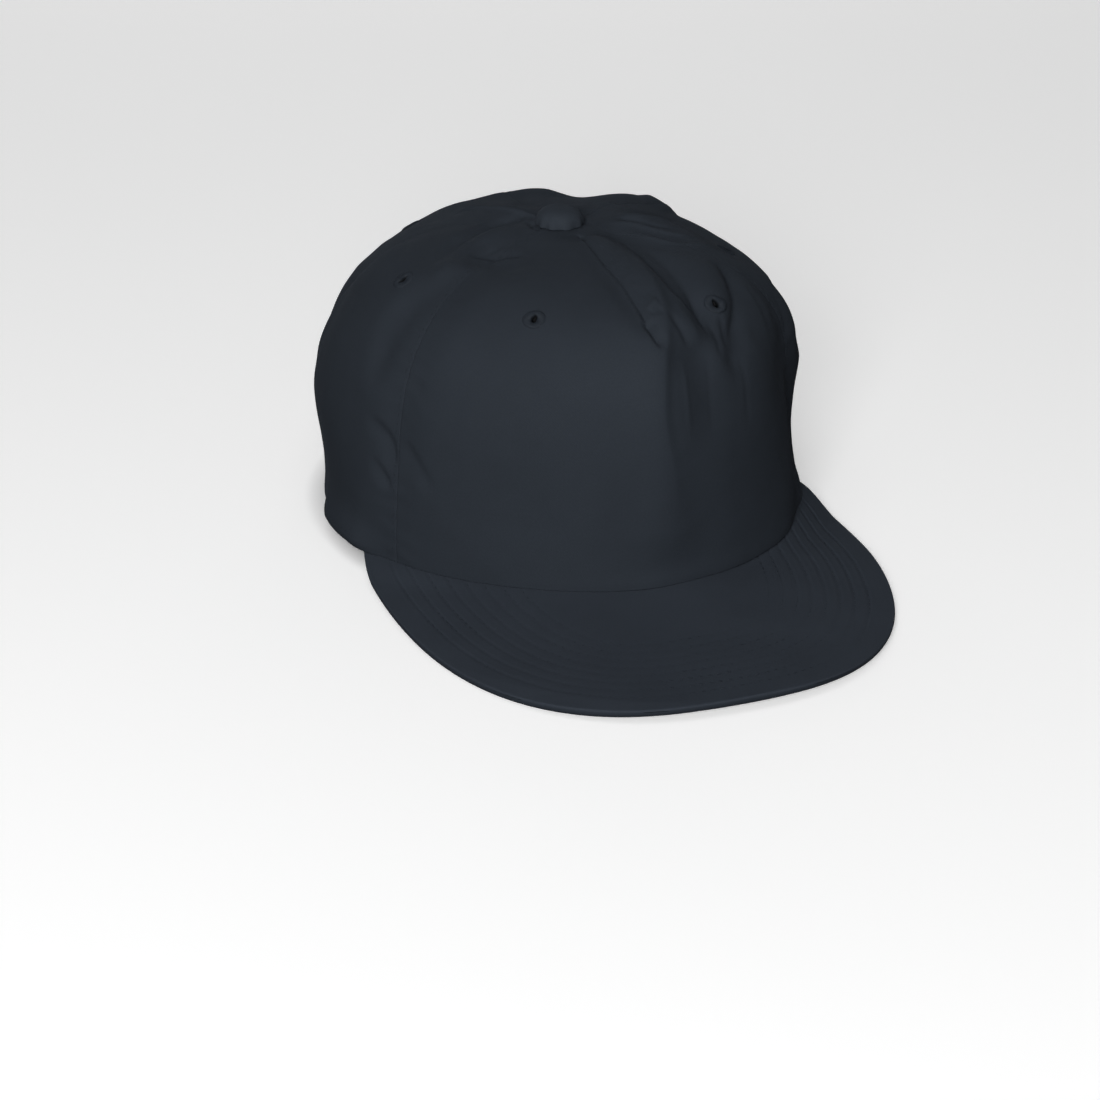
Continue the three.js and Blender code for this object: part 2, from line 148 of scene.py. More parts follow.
def spread(low: float, high: float, count: int, focus: list[tuple[float, float, float]]) -> Array:
    """Rising values that lie closer together near some places.

    The density of values is 1 plus, for each place, a strength times a bell curve about it, and
    the values divide the area under that density evenly.

    Args:
        low: The first value.
        high: The last value.
        count: How many values there are.
        focus: Each place with the bell curve's half width and strength.

    Returns:
        The values.
    """
    fine = np.linspace(low, high, SPREAD_SAMPLES)
    density = np.ones_like(fine)
    for place, width, strength in focus:
        density += strength * np.exp(-(((fine - place) / width) ** 2))
    area = np.concatenate([[0.0], np.cumsum((density[1:] + density[:-1]) / 2.0)])
    return np.interp(np.linspace(0.0, area[-1], count), area, fine)


def run_lengths(points: Array) -> Array:
    """The length travelled up to each point of a line, starting from 0."""
    steps = np.linalg.norm(np.diff(points, axis=0), axis=-1)
    return np.concatenate([[0.0], np.cumsum(steps)])


def line_at(line: Array, lengths: Array, wanted: Array) -> Array:
    """Points at some lengths along a line, each coordinate interpolated by itself.

    Args:
        line: The line's points.
        lengths: The length travelled up to each of them.
        wanted: The lengths to look up.

    Returns:
        A point for each wanted length.
    """
    axes = range(line.shape[1])
    return np.stack([np.interp(wanted, lengths, line[:, axis]) for axis in axes], axis=-1)


def flat_places(across: Array, upwards: Array) -> Array:
    """Places on the flat cloth of a grid with some lengths across and upwards."""
    return np.stack(np.meshgrid(across, upwards, indexing="ij"), axis=-1)


def stitch_middles(total: float, pitch: float) -> Array:
    """Lengths at which stitches lie that divide a line evenly, at about a pitch."""
    count = max(int(total / pitch), 2)
    return (np.arange(count) + 0.5) * total / count


def turned_faces(turns: int, size: int) -> Array:
    """Faces of an open profile carried round to its start, outward if it runs upwards.

    Args:
        turns: How many times the profile is repeated round its axis.
        size: How many points it has.

    Returns:
        The faces, for points by turn and place in the profile.
    """
    index = np.arange(turns * size).reshape(turns, size)
    after = np.roll(index, -1, axis=0)
    return np.stack([index[:, :-1], after[:, :-1], after[:, 1:], index[:, 1:]], axis=-1).reshape(-1, 4)


@dataclass(frozen=True)
class Ripple:
    """Smooth irregular waves through space: a sum of sines with seeded directions and phases.

    Attributes:
        seed: The seed of their directions and phases.
        wavelength: Their usual length.
        waves: How many there are.
        numbers: The least and greatest wave number, in shares of the usual one.
        calm: What brings the sum within about -1 to 1.
    """

    seed: int
    wavelength: float
    waves: int = 14
    numbers: tuple[float, float] = (0.6, 1.5)
    calm: float = 1.6

    def height(self, points: Array) -> Array:
        """The waves' height, about -1 to 1: each wave is sin(k . p + phase).

        Args:
            points: Where to find it.

        Returns:
            The heights at the points.
        """
        source = np.random.default_rng(self.seed)
        total = np.zeros(points.shape[:-1])
        for _ in range(self.waves):
            direction = source.normal(size=3)
            number = 2.0 * math.pi / self.wavelength * source.uniform(*self.numbers)
            direction *= number / np.linalg.norm(direction)
            total += np.sin(points @ direction + source.uniform(0.0, 2.0 * math.pi))
        return total / math.sqrt(self.waves / 2.0) / self.calm


@dataclass(frozen=True)
class PeakForm:
    """The peak's outline, slope and arch, with its ends on a level with the crown's rim.

    Attributes:
        sag: How far the middle of the peak lies below a straight slope.
        skew: How far the outline leads forwards per millimetre towards the wearer's left.
        droop: How far the edge hangs down beside the crown at the wearer's right and left.
        droop_reach: How far from the crown it hangs down fully.
        droop_fade: How far forward it starts to fade, and how far forward it is gone.
    """

    length: float = 75.2
    half_width: float = 87.4
    thickness: float = 3.2
    end_thickness: float = 1.8
    slope: float = 2.8
    arch: float = 5.8
    end_forward: float = 32.5
    shoulder: float = 23.5
    roundness: float = 2.49
    under_crown: float = 2.0
    edge_radius: float = 0.7
    sag: float = 2.0
    skew: float = -0.02
    droop: tuple[float, float] = (1.2, 3.8)
    droop_reach: float = 16.0
    droop_fade: tuple[float, float] = (40.0, 102.0)


class FoldKind(Enum):
    """How a fold's height falls away on each side of its line."""

    ROUND = "round"
    SHARP = "sharp"


@dataclass(frozen=True)
class Fold:
    """A fold or dent of the crown's cloth.

    Attributes:
        name: What it is.
        track: The places that it runs through, each as around and rise.
        height: How far it stands proud of the crown, or sinks below it if negative.
        right: Its half width to the right of its run, seen from outside.
        left: Its half width to the left of its run.
        kind: How its height falls away.
        fade: The shares of its length over which it rises at its start and falls at its end.
    """

    name: str
    track: Track
    height: float
    right: float
    left: float
    kind: FoldKind = FoldKind.ROUND
    fade: tuple[float, float] = (0.3, 0.3)


def main_fold(name: str, start: tuple, middle: tuple, end: tuple, width: float, height: float) -> Fold:
    """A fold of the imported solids: as wide on both sides and as high along its whole length."""
    return Fold(name, (start, middle, end), height, width, width, fade=(0.0, 0.0))


MAIN_FOLDS = (
    main_fold("front keel", (1.5, 47), (1.5, 27), (1.5, 12), 10, 1.7),
    main_fold("centre dart", (7, 81), (1, 66), (1, 48), 4, -1.2),
    main_fold("shoulder valley", (46, 76.5), (26, 63.5), (20, 46), 6.5, -2.4),
    main_fold("roll beside the dart", (16, 76), (10, 63), (10, 48), 6, 1.6),
    main_fold("fold below the eyelet", (50, 53), (36, 47), (23.5, 39), 5.5, -1.5),
    main_fold("upright fold", (15, 44), (15, 26), (16, 8), 8, 0.2),
    main_fold("hollow of the left front", (50, 30), (60, 20), (74, 10), 24, -5.3),
    main_fold("roll of the left side", (64, 36), (74, 31), (86, 26), 13, 2.0),
    main_fold("hollow of the left side", (88, 16), (108, 14), (130, 12), 20, -1.5),
    main_fold("sag of the left crown", (78, 54), (90, 56), (104, 60), 15, -3.8),
    main_fold("roll of the left back", (120, 66), (126, 58), (130, 48), 15, 2.4),
    main_fold("sag of the left back", (156, 72), (153, 62), (148, 52), 16, -3.4),
    main_fold("sag of the right back", (-158, 62), (-142, 54), (-122, 44), 24, -2.8),
    main_fold("hollow of the right side", (-96, 14), (-108, 12), (-124, 10), 20, -1.5),
    main_fold("pocket of the right front", (-66, 68), (-50, 65), (-35, 73), 9, -2.4),
)

DART = ((12.0, 82.6), (4.8, 75.5), (2.3, 65.5), (2.0, 57.5), (1.6, 48.4))

FINE_FOLDS = (
    Fold("keel edge", ((21, 72), (12.5, 62), (9, 54), (5.4, 47), (2.2, 41.5), (0.6, 36), (0.6, 31),
                       (2.4, 23), (3.6, 13)), 1.3, 9, 2.6, fade=(0.25, 0.4)),
    Fold("flat beside the keel", ((12, 46), (13, 38), (13.5, 30), (14, 22)), -2.4, 9.5, 9.0,
         fade=(0.2, 0.5)),
    Fold("flat below the eyelet", ((28, 51), (26, 43), (23, 36), (21, 28), (20, 20)), -2.0, 8.5, 15.0,
         fade=(0.25, 0.6)),
    Fold("dart groove", DART, -1.1, 0.8, 0.9, FoldKind.SHARP, (0.02, 0.03)),
    Fold("dart lip", DART, 0.4, 2.6, 0.5, fade=(0.05, 0.05)),
    Fold("pocket below the dart", ((1.6, 49.0), (1.7, 46.6), (2.6, 43)), -1.8, 1.2, 2.6,
         fade=(0.15, 0.3)),
    Fold("pucker above the pocket", ((3.2, 50.6), (5.0, 51.6), (7.4, 51.8)), 0.8, 1.0, 1.5),
    Fold("crease under the pucker", ((3.0, 49.6), (5.0, 50.0), (7.0, 49.6)), -0.5, 0.9, 0.8),
    Fold("shoulder hollow", ((54, 75), (41.8, 69), (31.6, 62), (25.2, 55.4), (22, 49.5), (19, 45)),
         -1.9, 3.2, 7.5, fade=(0.35, 0.2)),
    Fold("shoulder crease", ((24, 55), (21.2, 50.6), (19.3, 47.6), (17, 44)), -0.8, 1.2, 1.8,
         FoldKind.SHARP, (0.3, 0.3)),
    Fold("crease beside the dart", ((51.7, 76.5), (32.2, 71.4), (21.1, 62.7), (16.5, 55), (18.2, 50.9),
                                    (18.8, 46.8), (17, 44)), -0.9, 0.9, 2.2,
         FoldKind.SHARP, (0.25, 0.15)),
    Fold("lip of the shoulder crease", ((44, 75), (23, 67), (15.2, 57.8), (15.6, 51.2), (15.6, 46.5)),
         1.0, 4.0, 2.0, fade=(0.3, 0.2)),
    Fold("small crease", ((7.8, 49.5), (9.0, 47), (10.5, 43)), -0.8, 1.5, 2.0),
    Fold("small ridge", ((12, 52), (13.4, 47.5), (13.2, 42.5)), 0.5, 2.4, 2.0),
    Fold("first eyelet crease", ((22.4, 47), (21, 44.5), (18.4, 39.5)), -0.5, 1.2, 1.4),
    Fold("second eyelet crease", ((27.2, 47.6), (25.6, 45.4), (22.0, 41)), -0.6, 1.2, 1.6),
    Fold("crease left of the eyelet", ((52.5, 56.4), (47.8, 52.5), (41.3, 50), (36.5, 47.7), (31, 45),
                                       (26, 42.5), (21.5, 40.8)), -2.1, 1.9, 5.5,
         FoldKind.SHARP, (0.25, 0.35)),
    Fold("flat beyond the crease", ((50, 50), (40, 44), (33, 38)), -0.9, 4.5, 7.0),
    Fold("streak under the crease", ((27, 40), (24.5, 34), (23, 26)), -0.2, 1.2, 1.8),
    Fold("streak under the shoulder", ((15.5, 42.5), (13.6, 36), (12.6, 27)), -0.15, 1.2, 1.6),
    Fold("streak beside the keel", ((7.6, 42), (6.6, 36), (6.6, 28)), 0.25, 1.3, 1.3),
    Fold("outer crease", ((52, 48.6), (47.6, 45), (43, 38)), -0.4, 1.6, 3.0),
    Fold("far crease", ((65, 44), (61, 39), (58, 33)), -0.3, 2.0, 3.0),
    Fold("ridge off the left seam", ((60, 76), (57, 70), (55, 65.6), (63, 60), (80, 52.6)),
         0.8, 1.5, 1.3),
    Fold("shade under that ridge", ((50, 74), (47, 68), (47, 62), (54, 56)), -0.5, 3.0, 3.0),
    Fold("upper left ridge", ((78, 81), (73, 74), (67, 68.6), (68, 63.8), (76, 58.6)),
         0.8, 1.5, 1.4),
    Fold("groove over that ridge", ((88, 79), (80, 73), (75, 68), (78, 62)), -1.0, 1.7, 1.6),
    Fold("far left ridge", ((92, 77), (87, 70), (89, 63)), 0.8, 1.9, 1.9),
    Fold("far left groove", ((102, 75), (101, 67), (105, 58)), -1.1, 2.8, 3.2),
    Fold("shoulder of the left back", ((124, 80), (120, 75), (120, 69)), 1.3, 9, 9),
    Fold("crest of the left back", ((130, 57.5), (122, 54.5), (115, 52.5)), 1.6, 8, 8),
    Fold("crest of the centre back", ((-167, 57), (-178, 58.5), (-192, 60), (-206, 61)), 1.4, 6, 6),
    Fold("flat of the left edge", ((82, 42), (75, 34), (71, 26)), -2.2, 9, 9),
    Fold("flare of the left foot", ((8, -1), (30, -1), (54, 0)), 1.3, 20, 20),
    Fold("lip of the left foot", ((-24, -1), (16, -1), (52, -1)), 0.7, 5, 5),
    Fold("ridge of the right back", ((-150, 85), (-148.5, 77.5), (-148, 70), (-144, 61)), 1.1, 1.6, 1.4,
         fade=(0.1, 0.3)),
    Fold("groove over that ridge", ((-158, 85), (-156, 77.5), (-154, 70)), -0.7, 1.4, 1.6),
    Fold("valley of the right top", ((-149, 83), (-127, 78), (-101, 72), (-86, 65.5), (-73, 58)),
         -2.2, 2.8, 3.2, fade=(0.2, 0.4)),
    Fold("pocket crease", ((-74, 65.5), (-66, 68), (-55, 70), (-42, 73.5)), -1.3, 1.3, 3.4),
    Fold("dent of the right top", ((-82, 70), (-73, 70.5), (-65, 70)), -0.6, 4.5, 4.5),
    Fold("right front shoulder", ((-76, 57), (-66, 60.5), (-55, 62.5), (-45, 64)), 1.5, 6, 5),
    Fold("turn behind the seam", ((-66, 58), (-67.5, 46), (-67, 30)), -1.9, 7, 7),
    Fold("upper seam pucker", ((-68, 27.5), (-62.5, 26), (-59.4, 23.5), (-58.2, 18.5)),
         -0.9, 4.0, 1.3),
    Fold("lower seam pucker", ((-66, 20), (-62.2, 18.2), (-59, 14)), -0.7, 3.4, 1.2),
    Fold("streak before the seam", ((-57, 25.4), (-52.5, 22.6), (-47, 17)), -0.6, 4.4, 1.6),
    Fold("swell of the right side", ((-104, 58), (-106, 50), (-104, 42)), 1.3, 13, 13),
    Fold("swell of the right back", ((-139, 45), (-131, 38), (-117, 31)), 1.1, 10, 10),
    Fold("sag of the right crest", ((-158, 56), (-148, 51), (-139, 46)), -0.9, 9, 9),
    Fold("swell of the back seam", ((-114, 46), (-111, 36), (-109, 26)), 1.0, 6, 6),
    Fold("flare of the right rim", ((-60, 1), (-77, 1), (-97, 2)), 2.9, 7, 7),
    Fold("flare of the left rim", ((54, 1.5), (66, 1.5), (79, 2)), 1.1, 6, 6),
    Fold("sag of the upper right back", ((-130, 58), (-139, 62), (-148, 66)), -1.2, 11, 11),
    Fold("rise behind the button", ((-168, 84), (-172, 78), (-168, 72)), 1.1, 9, 9),
    Fold("dip right of the button", ((-125, 84.2), (-95, 84.2), (-65, 84.2)), -1.2, 1.7, 1.7),
    Fold("dip left of the button", ((60, 84.2), (90, 84.2), (120, 84.2)), -1.2, 1.7, 1.7),
)


@dataclass(frozen=True)
class CrownForm:
    """The crown's cloth as a surface over around and rise.

    The rim is a superellipse, deeper behind than in front. Each upright section is one too, from
    the rim to the top, squarer in front than at the sides. Behind the peak the rim is drawn in and
    falls to the floor. Panels puff out between seams, and folds raise or sink the cloth along the
    surface's outward direction.
    """

    peak: PeakForm = PeakForm()
    half_width: float = 91.0
    front_depth: float = 99.0
    back_depth: float = 103.0
    height: float = 105.7
    centre_y: float = 36.5
    front_roundness: float = 1.8
    back_roundness: float = 2.0
    front_squareness: float = 5.4
    side_squareness: float = 3.04
    back_squareness: float = 2.9
    top_squareness: float = 3.12
    squareness_fade: float = 1.5
    seat: float = 0.0
    tuck_depth: float = 5.4
    tuck_around: tuple[float, float] = (62.0, 100.0)
    tuck_rise: tuple[float, float] = (4.0, 27.0)
    closure_end: float = 144.0
    fall_after: float = 5.0
    fall_before: float = 6.0
    puff: float = 0.6
    dip_depth: float = 1.5
    dip_width: float = 8.0
    dip_full: float = 24.0
    puff_fade: tuple[float, float] = (74.0, 88.0)
    thickness: float = 1.6
    hole_radius: float = 3.5
    seams: tuple[float, ...] = (-57.5, 57.5, -119.0, 119.0, 180.0)

    @property
    def top_rise(self) -> float:
        """The rise at which the panels end, under the button."""
        return 90.0 - math.degrees(self.hole_radius / self.half_width)

    @property
    def peak_end_x(self) -> float:
        """Half width of the rim where the peak ends."""
        share = (self.peak.end_forward / self.front_depth) ** self.front_roundness
        return self.half_width * (1.0 - share) ** (1.0 / self.front_roundness)

    @property
    def peak_end_around(self) -> float:
        """Direction of the peak's left end."""
        return math.degrees(math.atan2(self.peak_end_x, self.peak.end_forward))

    def oval_radius(self, around: Array) -> Array:
        """Distance from the crown's axis to the rim: (|sin/A|^n + |cos/D|^n)^(-1/n).

        Args:
            around: Directions.

        Returns:
            The distances.
        """
        side = np.abs(sine(around))
        front = cosine(around)
        back = ramp(0.0, 1.0, -front)
        roundness = mix(self.front_roundness, self.back_roundness, back)
        depth = mix(self.front_depth, self.back_depth, back)
        total = (side / self.half_width) ** roundness + (np.abs(front) / depth) ** roundness
        return total ** (-1.0 / roundness)

    def peak_height(self, x: Array, forward: Array, drooping: bool = True) -> Array:
        """Height of the peak's top over its ends, with or without its drooping edge.

        It is a parabola across less a straight slope forwards, less a sag of 4u(1-u) for the share
        u of the way from the crown to the edge, which fades out towards both sides. Beside the
        crown it also hangs down with its distance from the rim.

        Args:
            x: Places across, towards the wearer's left.
            forward: Places in front of the crown's axis.
            drooping: Whether the edge hangs down.

        Returns:
            The heights.
        """
        arch = self.peak.arch * (1.0 - (x / self.peak_end_x) ** 2)
        across = np.clip(np.abs(x) / self.half_width, 0.0, 1.0) ** self.front_roundness
        crown = self.front_depth * (1.0 - across) ** (1.0 / self.front_roundness)
        share = np.clip((forward - crown) / self.peak.length, 0.0, 1.0)
        middle = np.clip(1.0 - (x / self.peak.half_width) ** 2, 0.0, 1.0)
        sag = 4.0 * self.peak.sag * share * (1.0 - share) * middle
        slope = math.tan(math.radians(self.peak.slope)) * (forward - self.peak.end_forward)
        ahead = np.clip(forward / self.front_depth, 0.0, 1.0) ** self.front_roundness
        rim = self.half_width * (1.0 - ahead) ** (1.0 / self.front_roundness)
        beside = ramp(0.0, self.peak.droop_reach, np.abs(x) - rim)
        beside = beside * (1.0 - ramp(*self.peak.droop_fade, forward))
        right, left = self.peak.droop
        return arch - slope - sag - drooping * np.where(x > 0.0, left, right) * beside

    def rim_height(self, around: Array) -> Array:
        """Height of the rim: on the peak in front, and falling with the cosine of around behind it.

        Args:
            around: Directions.

        Returns:
            The heights.
        """
        radius = self.oval_radius(around)
        x = radius * sine(around)
        forward = radius * cosine(around)
        turned = turn_from_front(around)
        level = math.cos(math.radians(self.closure_end - self.fall_before))
        end = math.cos(math.radians(self.peak_end_around + self.fall_after))
        share = np.clip((cosine(turned) - level) / (end - level), 0.0, 1.0)
        on_peak = self.seat + self.peak_height(x, forward)
        return np.where(turned <= self.peak_end_around, on_peak, self.seat * share)

    def section(self, around: Array, rise: Array) -> tuple[Array, Array]:
        """Shares of the crown's width and height: (cos^m + sin^m)^(-1/m) times cos and sin of rise.

        Args:
            around: Directions.
            rise: Rises, whose shapes and around's fit together.

        Returns:
            The shares of the width, and those of the height.
        """
        along = cosine(around)
        front = np.maximum(along, 0.0) ** self.squareness_fade
        back = np.maximum(-along, 0.0) ** self.squareness_fade
        wall = self.side_squareness + (self.front_squareness - self.side_squareness) * front
        wall = wall + (self.back_squareness - self.side_squareness) * back
        level = cosine(rise)
        upright = np.maximum(sine(rise), 0.0)
        squareness = mix(self.top_squareness, wall, level ** 2)
        scale = (level ** squareness + upright ** squareness) ** (-1.0 / squareness)
        behind = ramp(*self.tuck_around, turn_from_front(around))
        tuck = behind * (1.0 - ramp(*self.tuck_rise, rise)) * self.tuck_depth
        return scale * level * (1.0 - tuck / self.oval_radius(around)), scale * upright

    def smooth(self, around: Array, rise: Array) -> Array:
        """The crown without puffs and folds.

        Args:
            around: Directions.
            rise: Rises.

        Returns:
            Its points.
        """
        around, rise = np.broadcast_arrays(np.asarray(around, float), np.asarray(rise, float))
        radius = self.oval_radius(around)
        width, height = self.section(around, rise)
        x = radius * sine(around) * width
        y = self.centre_y - radius * cosine(around) * width
        z = self.rim_height(around) * (1.0 - height) + self.height * height
        return np.stack([x, y, z], axis=-1)

    def outward(self, surface: Surface, around: Array, rise: Array, step: float = 0.05) -> Array:
        """A surface's outward direction, the cross product of two small steps over it.

        Args:
            surface: The surface.
            around: Directions.
            rise: Rises.
            step: The small steps' size, in degrees.

        Returns:
            Directions of length 1.
        """
        here = surface(around, rise)
        outward = np.cross(surface(around + step, rise) - here, surface(around, rise + step) - here)
        outward[..., 2] = np.where(np.asarray(rise) == 0.0, 0.0, outward[..., 2])
        return unit(outward)

    def seam_distance(self, around: Array, rise: Array) -> Array:
        """Length over the cloth from the nearest seam."""
        turned = np.min([turn_from_front(around - seam) for seam in self.seams], axis=0)
        return np.radians(turned) * self.oval_radius(around) * cosine(rise)

    def panel_puff(self, around: Array, rise: Array) -> Array:
        """Each panel's puff less a bell curve at its seams, closed down near the button.

        Args:
            around: Directions.
            rise: Rises.

        Returns:
            How far the cloth stands proud of the smooth crown.
        """
        reach = self.seam_distance(around, rise)
        dip = self.dip_depth * ramp(0.0, self.dip_full, rise) * np.exp(-((reach / self.dip_width) ** 2))
        return (self.puff - dip) * (1.0 - ramp(*self.puff_fade, rise))


def curve_through(places: Track, steps: int) -> Array:
    """A smooth line of around and rise through some places.

    Three places are joined by the parabola through them, and more by a Catmull-Rom spline, whose
    tangent at each place is half the step between its neighbours.

    Args:
        places: The places that the line runs through.
        steps: The number of straight steps to divide it into.

    Returns:
        An array of steps + 1 places.
    """
    knots = np.array(places, float)
    if len(knots) == 3:
        t = np.linspace(0.0, 1.0, steps + 1)[:, None]
        start, middle, end = knots
        return start * (1 - t) * (1 - 2 * t) + middle * 4 * t * (1 - t) + end * t * (2 * t - 1)
    padded = np.concatenate([2 * knots[:1] - knots[1:2], knots, 2 * knots[-1:] - knots[-2:-1]])
    t = np.linspace(0.0, len(knots) - 1.0, steps + 1)
    index = np.minimum(t.astype(int), len(knots) - 2)
    t = (t - index)[:, None]
    before, start, end, after = (padded[index + offset] for offset in range(4))
    bend = 2 * before - 5 * start + 4 * end - after
    twist = 3 * start - before - 3 * end + after
    return start + 0.5 * t * ((end - before) + t * (bend + t * twist))


class Cloth:
    """The crown's cloth with its folds, seams and puckers, as a surface over around and rise."""

    SHORT_LINE_STEPS = 12
    LONG_LINE_STEPS = 24
    FOLD_REACH = 3.2
    BLUNTNESS = 0.25
    OUTWARD_STEP = 0.4
    BROAD_WAVES = (0.16, Ripple(3, 34.0))
    FINE_WAVES = (0.05, Ripple(7, 11.0))
    SEAM_GROOVE = 0.09
    SEAM_GROOVE_WIDTH = 0.5
    SEAM_WELT = 0.03
    SEAM_WELT_AT = 2.6
    SEAM_WELT_WIDTH = 2.2
    PUCKER = 0.14
    PUCKER_REACH = 8.0
    PUCKER_PITCH = 7.5
    PUCKER_SLANT = 0.5
    PUCKER_WANDER = (2.2, Ripple(5, 30.0))
    PUCKER_MEAN = 0.55
    PUCKER_CHANGE = (0.45, Ripple(11, 26.0))
    CALM_BY_THE_BUTTON = 0.6
    CALM_RISES = (70.0, 86.0)
    DART_PUCKER = 0.11
    DART_PUCKER_PITCH = 5.2
    DART_PUCKER_REACH = 7.0
    DART_PUCKER_SLANT = 0.25
    DART_PUCKER_SIDE = (-0.5, 2.5)
    DART_PUCKER_START = (8.0, 20.0)
    HEM_ROLL = 0.6
    HEM_ROLL_OVER_PEAK = 0.1
    HEM_ROLL_HEIGHT = 1.2
    HEM_ROLL_TURNS = (60.0, 75.0)

    def __init__(self, form: CrownForm) -> None:
        """Keeps the form and lays out the lines of its folds."""
        self.form = form
        self.lines = [(fold, self._line(fold)) for fold in MAIN_FOLDS + FINE_FOLDS]

    def _line(self, fold: Fold) -> Array:
        """A fold's line over the smooth crown, as points."""
        steps = self.SHORT_LINE_STEPS if len(fold.track) == 3 else self.LONG_LINE_STEPS
        return self.form.smooth(*curve_through(fold.track, steps).T)

    def _fold_height(self, fold: Fold, line: Array, points: Array, outward: Array) -> Array:
        """Height of one fold at some points.

        The height is a bell curve exp(-(d/w)^2), or for a sharp fold exp(-d/w), of the distance d
        from the fold's line, with its own half width w on each side.

        Args:
            fold: The fold.
            line: Its line, as points.
            points: Points of the smooth crown.
            outward: The smooth crown's outward directions there.

        Returns:
            The heights at the points.
        """
        reach = self.FOLD_REACH * max(fold.right, fold.left)
        near = np.all((points > line.min(0) - reach) & (points < line.max(0) + reach), axis=-1)
        height = np.zeros(len(points))
        if not near.any():
            return height
        step = np.diff(line, axis=0)
        offset = points[near][:, None, :] - line[:-1]
        share = np.clip((offset * step).sum(-1) / (step * step).sum(-1), 0.0, 1.0)
        away = offset - share[..., None] * step
        distance = np.linalg.norm(away, axis=-1)
        closest = distance.argmin(axis=1)
        rows = np.arange(len(closest))
        distance = distance[rows, closest]
        leftward = np.cross(outward[near], unit(step)[closest])
        side = (away[rows, closest] * leftward).sum(-1)
        width = np.where(side > 0.0, fold.left, fold.right)
        lengths = run_lengths(line)
        along = lengths[closest] + share[rows, closest] * np.diff(lengths)[closest]
        along = along / lengths[-1]
        if fold.kind is FoldKind.ROUND:
            profile = np.exp(-((distance / width) ** 2))
        else:
            blunt = self.BLUNTNESS * width
            profile = np.exp(-(np.hypot(distance, blunt) - blunt) / width)
        first, last = fold.fade
        strength = ramp(0.0, max(first, TINY), along + (TINY if first == 0.0 else 0.0))
        strength = strength * ramp(0.0, max(last, TINY), 1.0 - along + (TINY if last == 0.0 else 0.0))
        height[near] = fold.height * profile * strength
        return height

    def _seam_height(self, around: Array, rise: Array, points: Array) -> Array:
        """Relief of the sewn seams: a narrow groove, a low welt beside it and puckers across both.

        The puckers are a sine of the height, slanted and wandering, under a bell curve.

        Args:
            around: Directions.
            rise: Rises.
            points: The smooth crown's points there.

        Returns:
            The relief's heights.
        """
        reach = self.form.seam_distance(around, rise)
        groove = self.SEAM_GROOVE * np.exp(-((reach / self.SEAM_GROOVE_WIDTH) ** 2))
        welt = self.SEAM_WELT * np.exp(-(((reach - self.SEAM_WELT_AT) / self.SEAM_WELT_WIDTH) ** 2))
        wander = self._waves(self.PUCKER_WANDER, points)
        amount = self.PUCKER_MEAN + self._waves(self.PUCKER_CHANGE, points)
        climb = points[..., 2] + self.PUCKER_SLANT * points[..., 0] + wander
        phase = 2.0 * math.pi * climb / self.PUCKER_PITCH
        pucker = self.PUCKER * amount * np.sin(phase) * np.exp(-((reach / self.PUCKER_REACH) ** 2))
        open_share = 1.0 - self.CALM_BY_THE_BUTTON * ramp(*self.CALM_RISES, rise)
        return (welt + pucker) * open_share - groove

    @staticmethod
    def _waves(waves: tuple[float, Ripple], points: Array) -> Array:
        """A ripple's height times how high it is."""
        return waves[0] * waves[1].height(points)

    def _dart_puckers(self, points: Array) -> Array:
        """Short ridges across the left side of the dart, a sine along it under a bell curve.

        Args:
            points: The smooth crown's points.

        Returns:
            The ridges' heights.
        """
        line = self.form.smooth(*curve_through(DART, self.LONG_LINE_STEPS).T)
        distance = np.linalg.norm(points[:, None, :] - line, axis=-1)
        closest = distance.argmin(axis=1)
        away = distance.min(axis=1)
        along = run_lengths(line)[closest]
        side = ramp(*self.DART_PUCKER_SIDE, points[:, 0] - line[closest, 0])
        slanted = along + self.DART_PUCKER_SLANT * away
        wave = self.DART_PUCKER * np.sin(2.0 * math.pi * slanted / self.DART_PUCKER_PITCH)
        near = np.exp(-((away / self.DART_PUCKER_REACH) ** 2))
        return wave * side * near * ramp(*self.DART_PUCKER_START, along)

    def proudness(self, around: Array, rise: Array, points: Array, outward: Array) -> Array:
        """How far the cloth stands proud of the smooth crown: the sum of puffs, folds and ripples.

        Args:
            around: Directions.
            rise: Rises.
            points: The smooth crown's points there.
            outward: Its outward directions there.

        Returns:
            The heights.
        """
        total = self.form.panel_puff(around, rise) + self._seam_height(around, rise, points)
        for fold, line in self.lines:
            total = total + self._fold_height(fold, line, points, outward)
        total = total + self._dart_puckers(points)
        return total + self._waves(self.BROAD_WAVES, points) + self._waves(self.FINE_WAVES, points)

    def plain_surface(self, around: Array, rise: Array) -> Array:
        """The cloth's outer face with its folds and no seams or ripples, as its inside follows it.

        Args:
            around: Directions.
            rise: Rises.

        Returns:
            Its points.
        """
        flat_around, flat_rise = around.ravel(), rise.ravel()
        points = self.form.smooth(flat_around, flat_rise)
        outward = self.form.outward(self.form.smooth, flat_around, flat_rise)
        proud = self.form.panel_puff(flat_around, flat_rise)
        for fold, line in self.lines:
            proud = proud + self._fold_height(fold, line, points, outward)
        return (points + outward * proud[:, None]).reshape(*around.shape, 3)

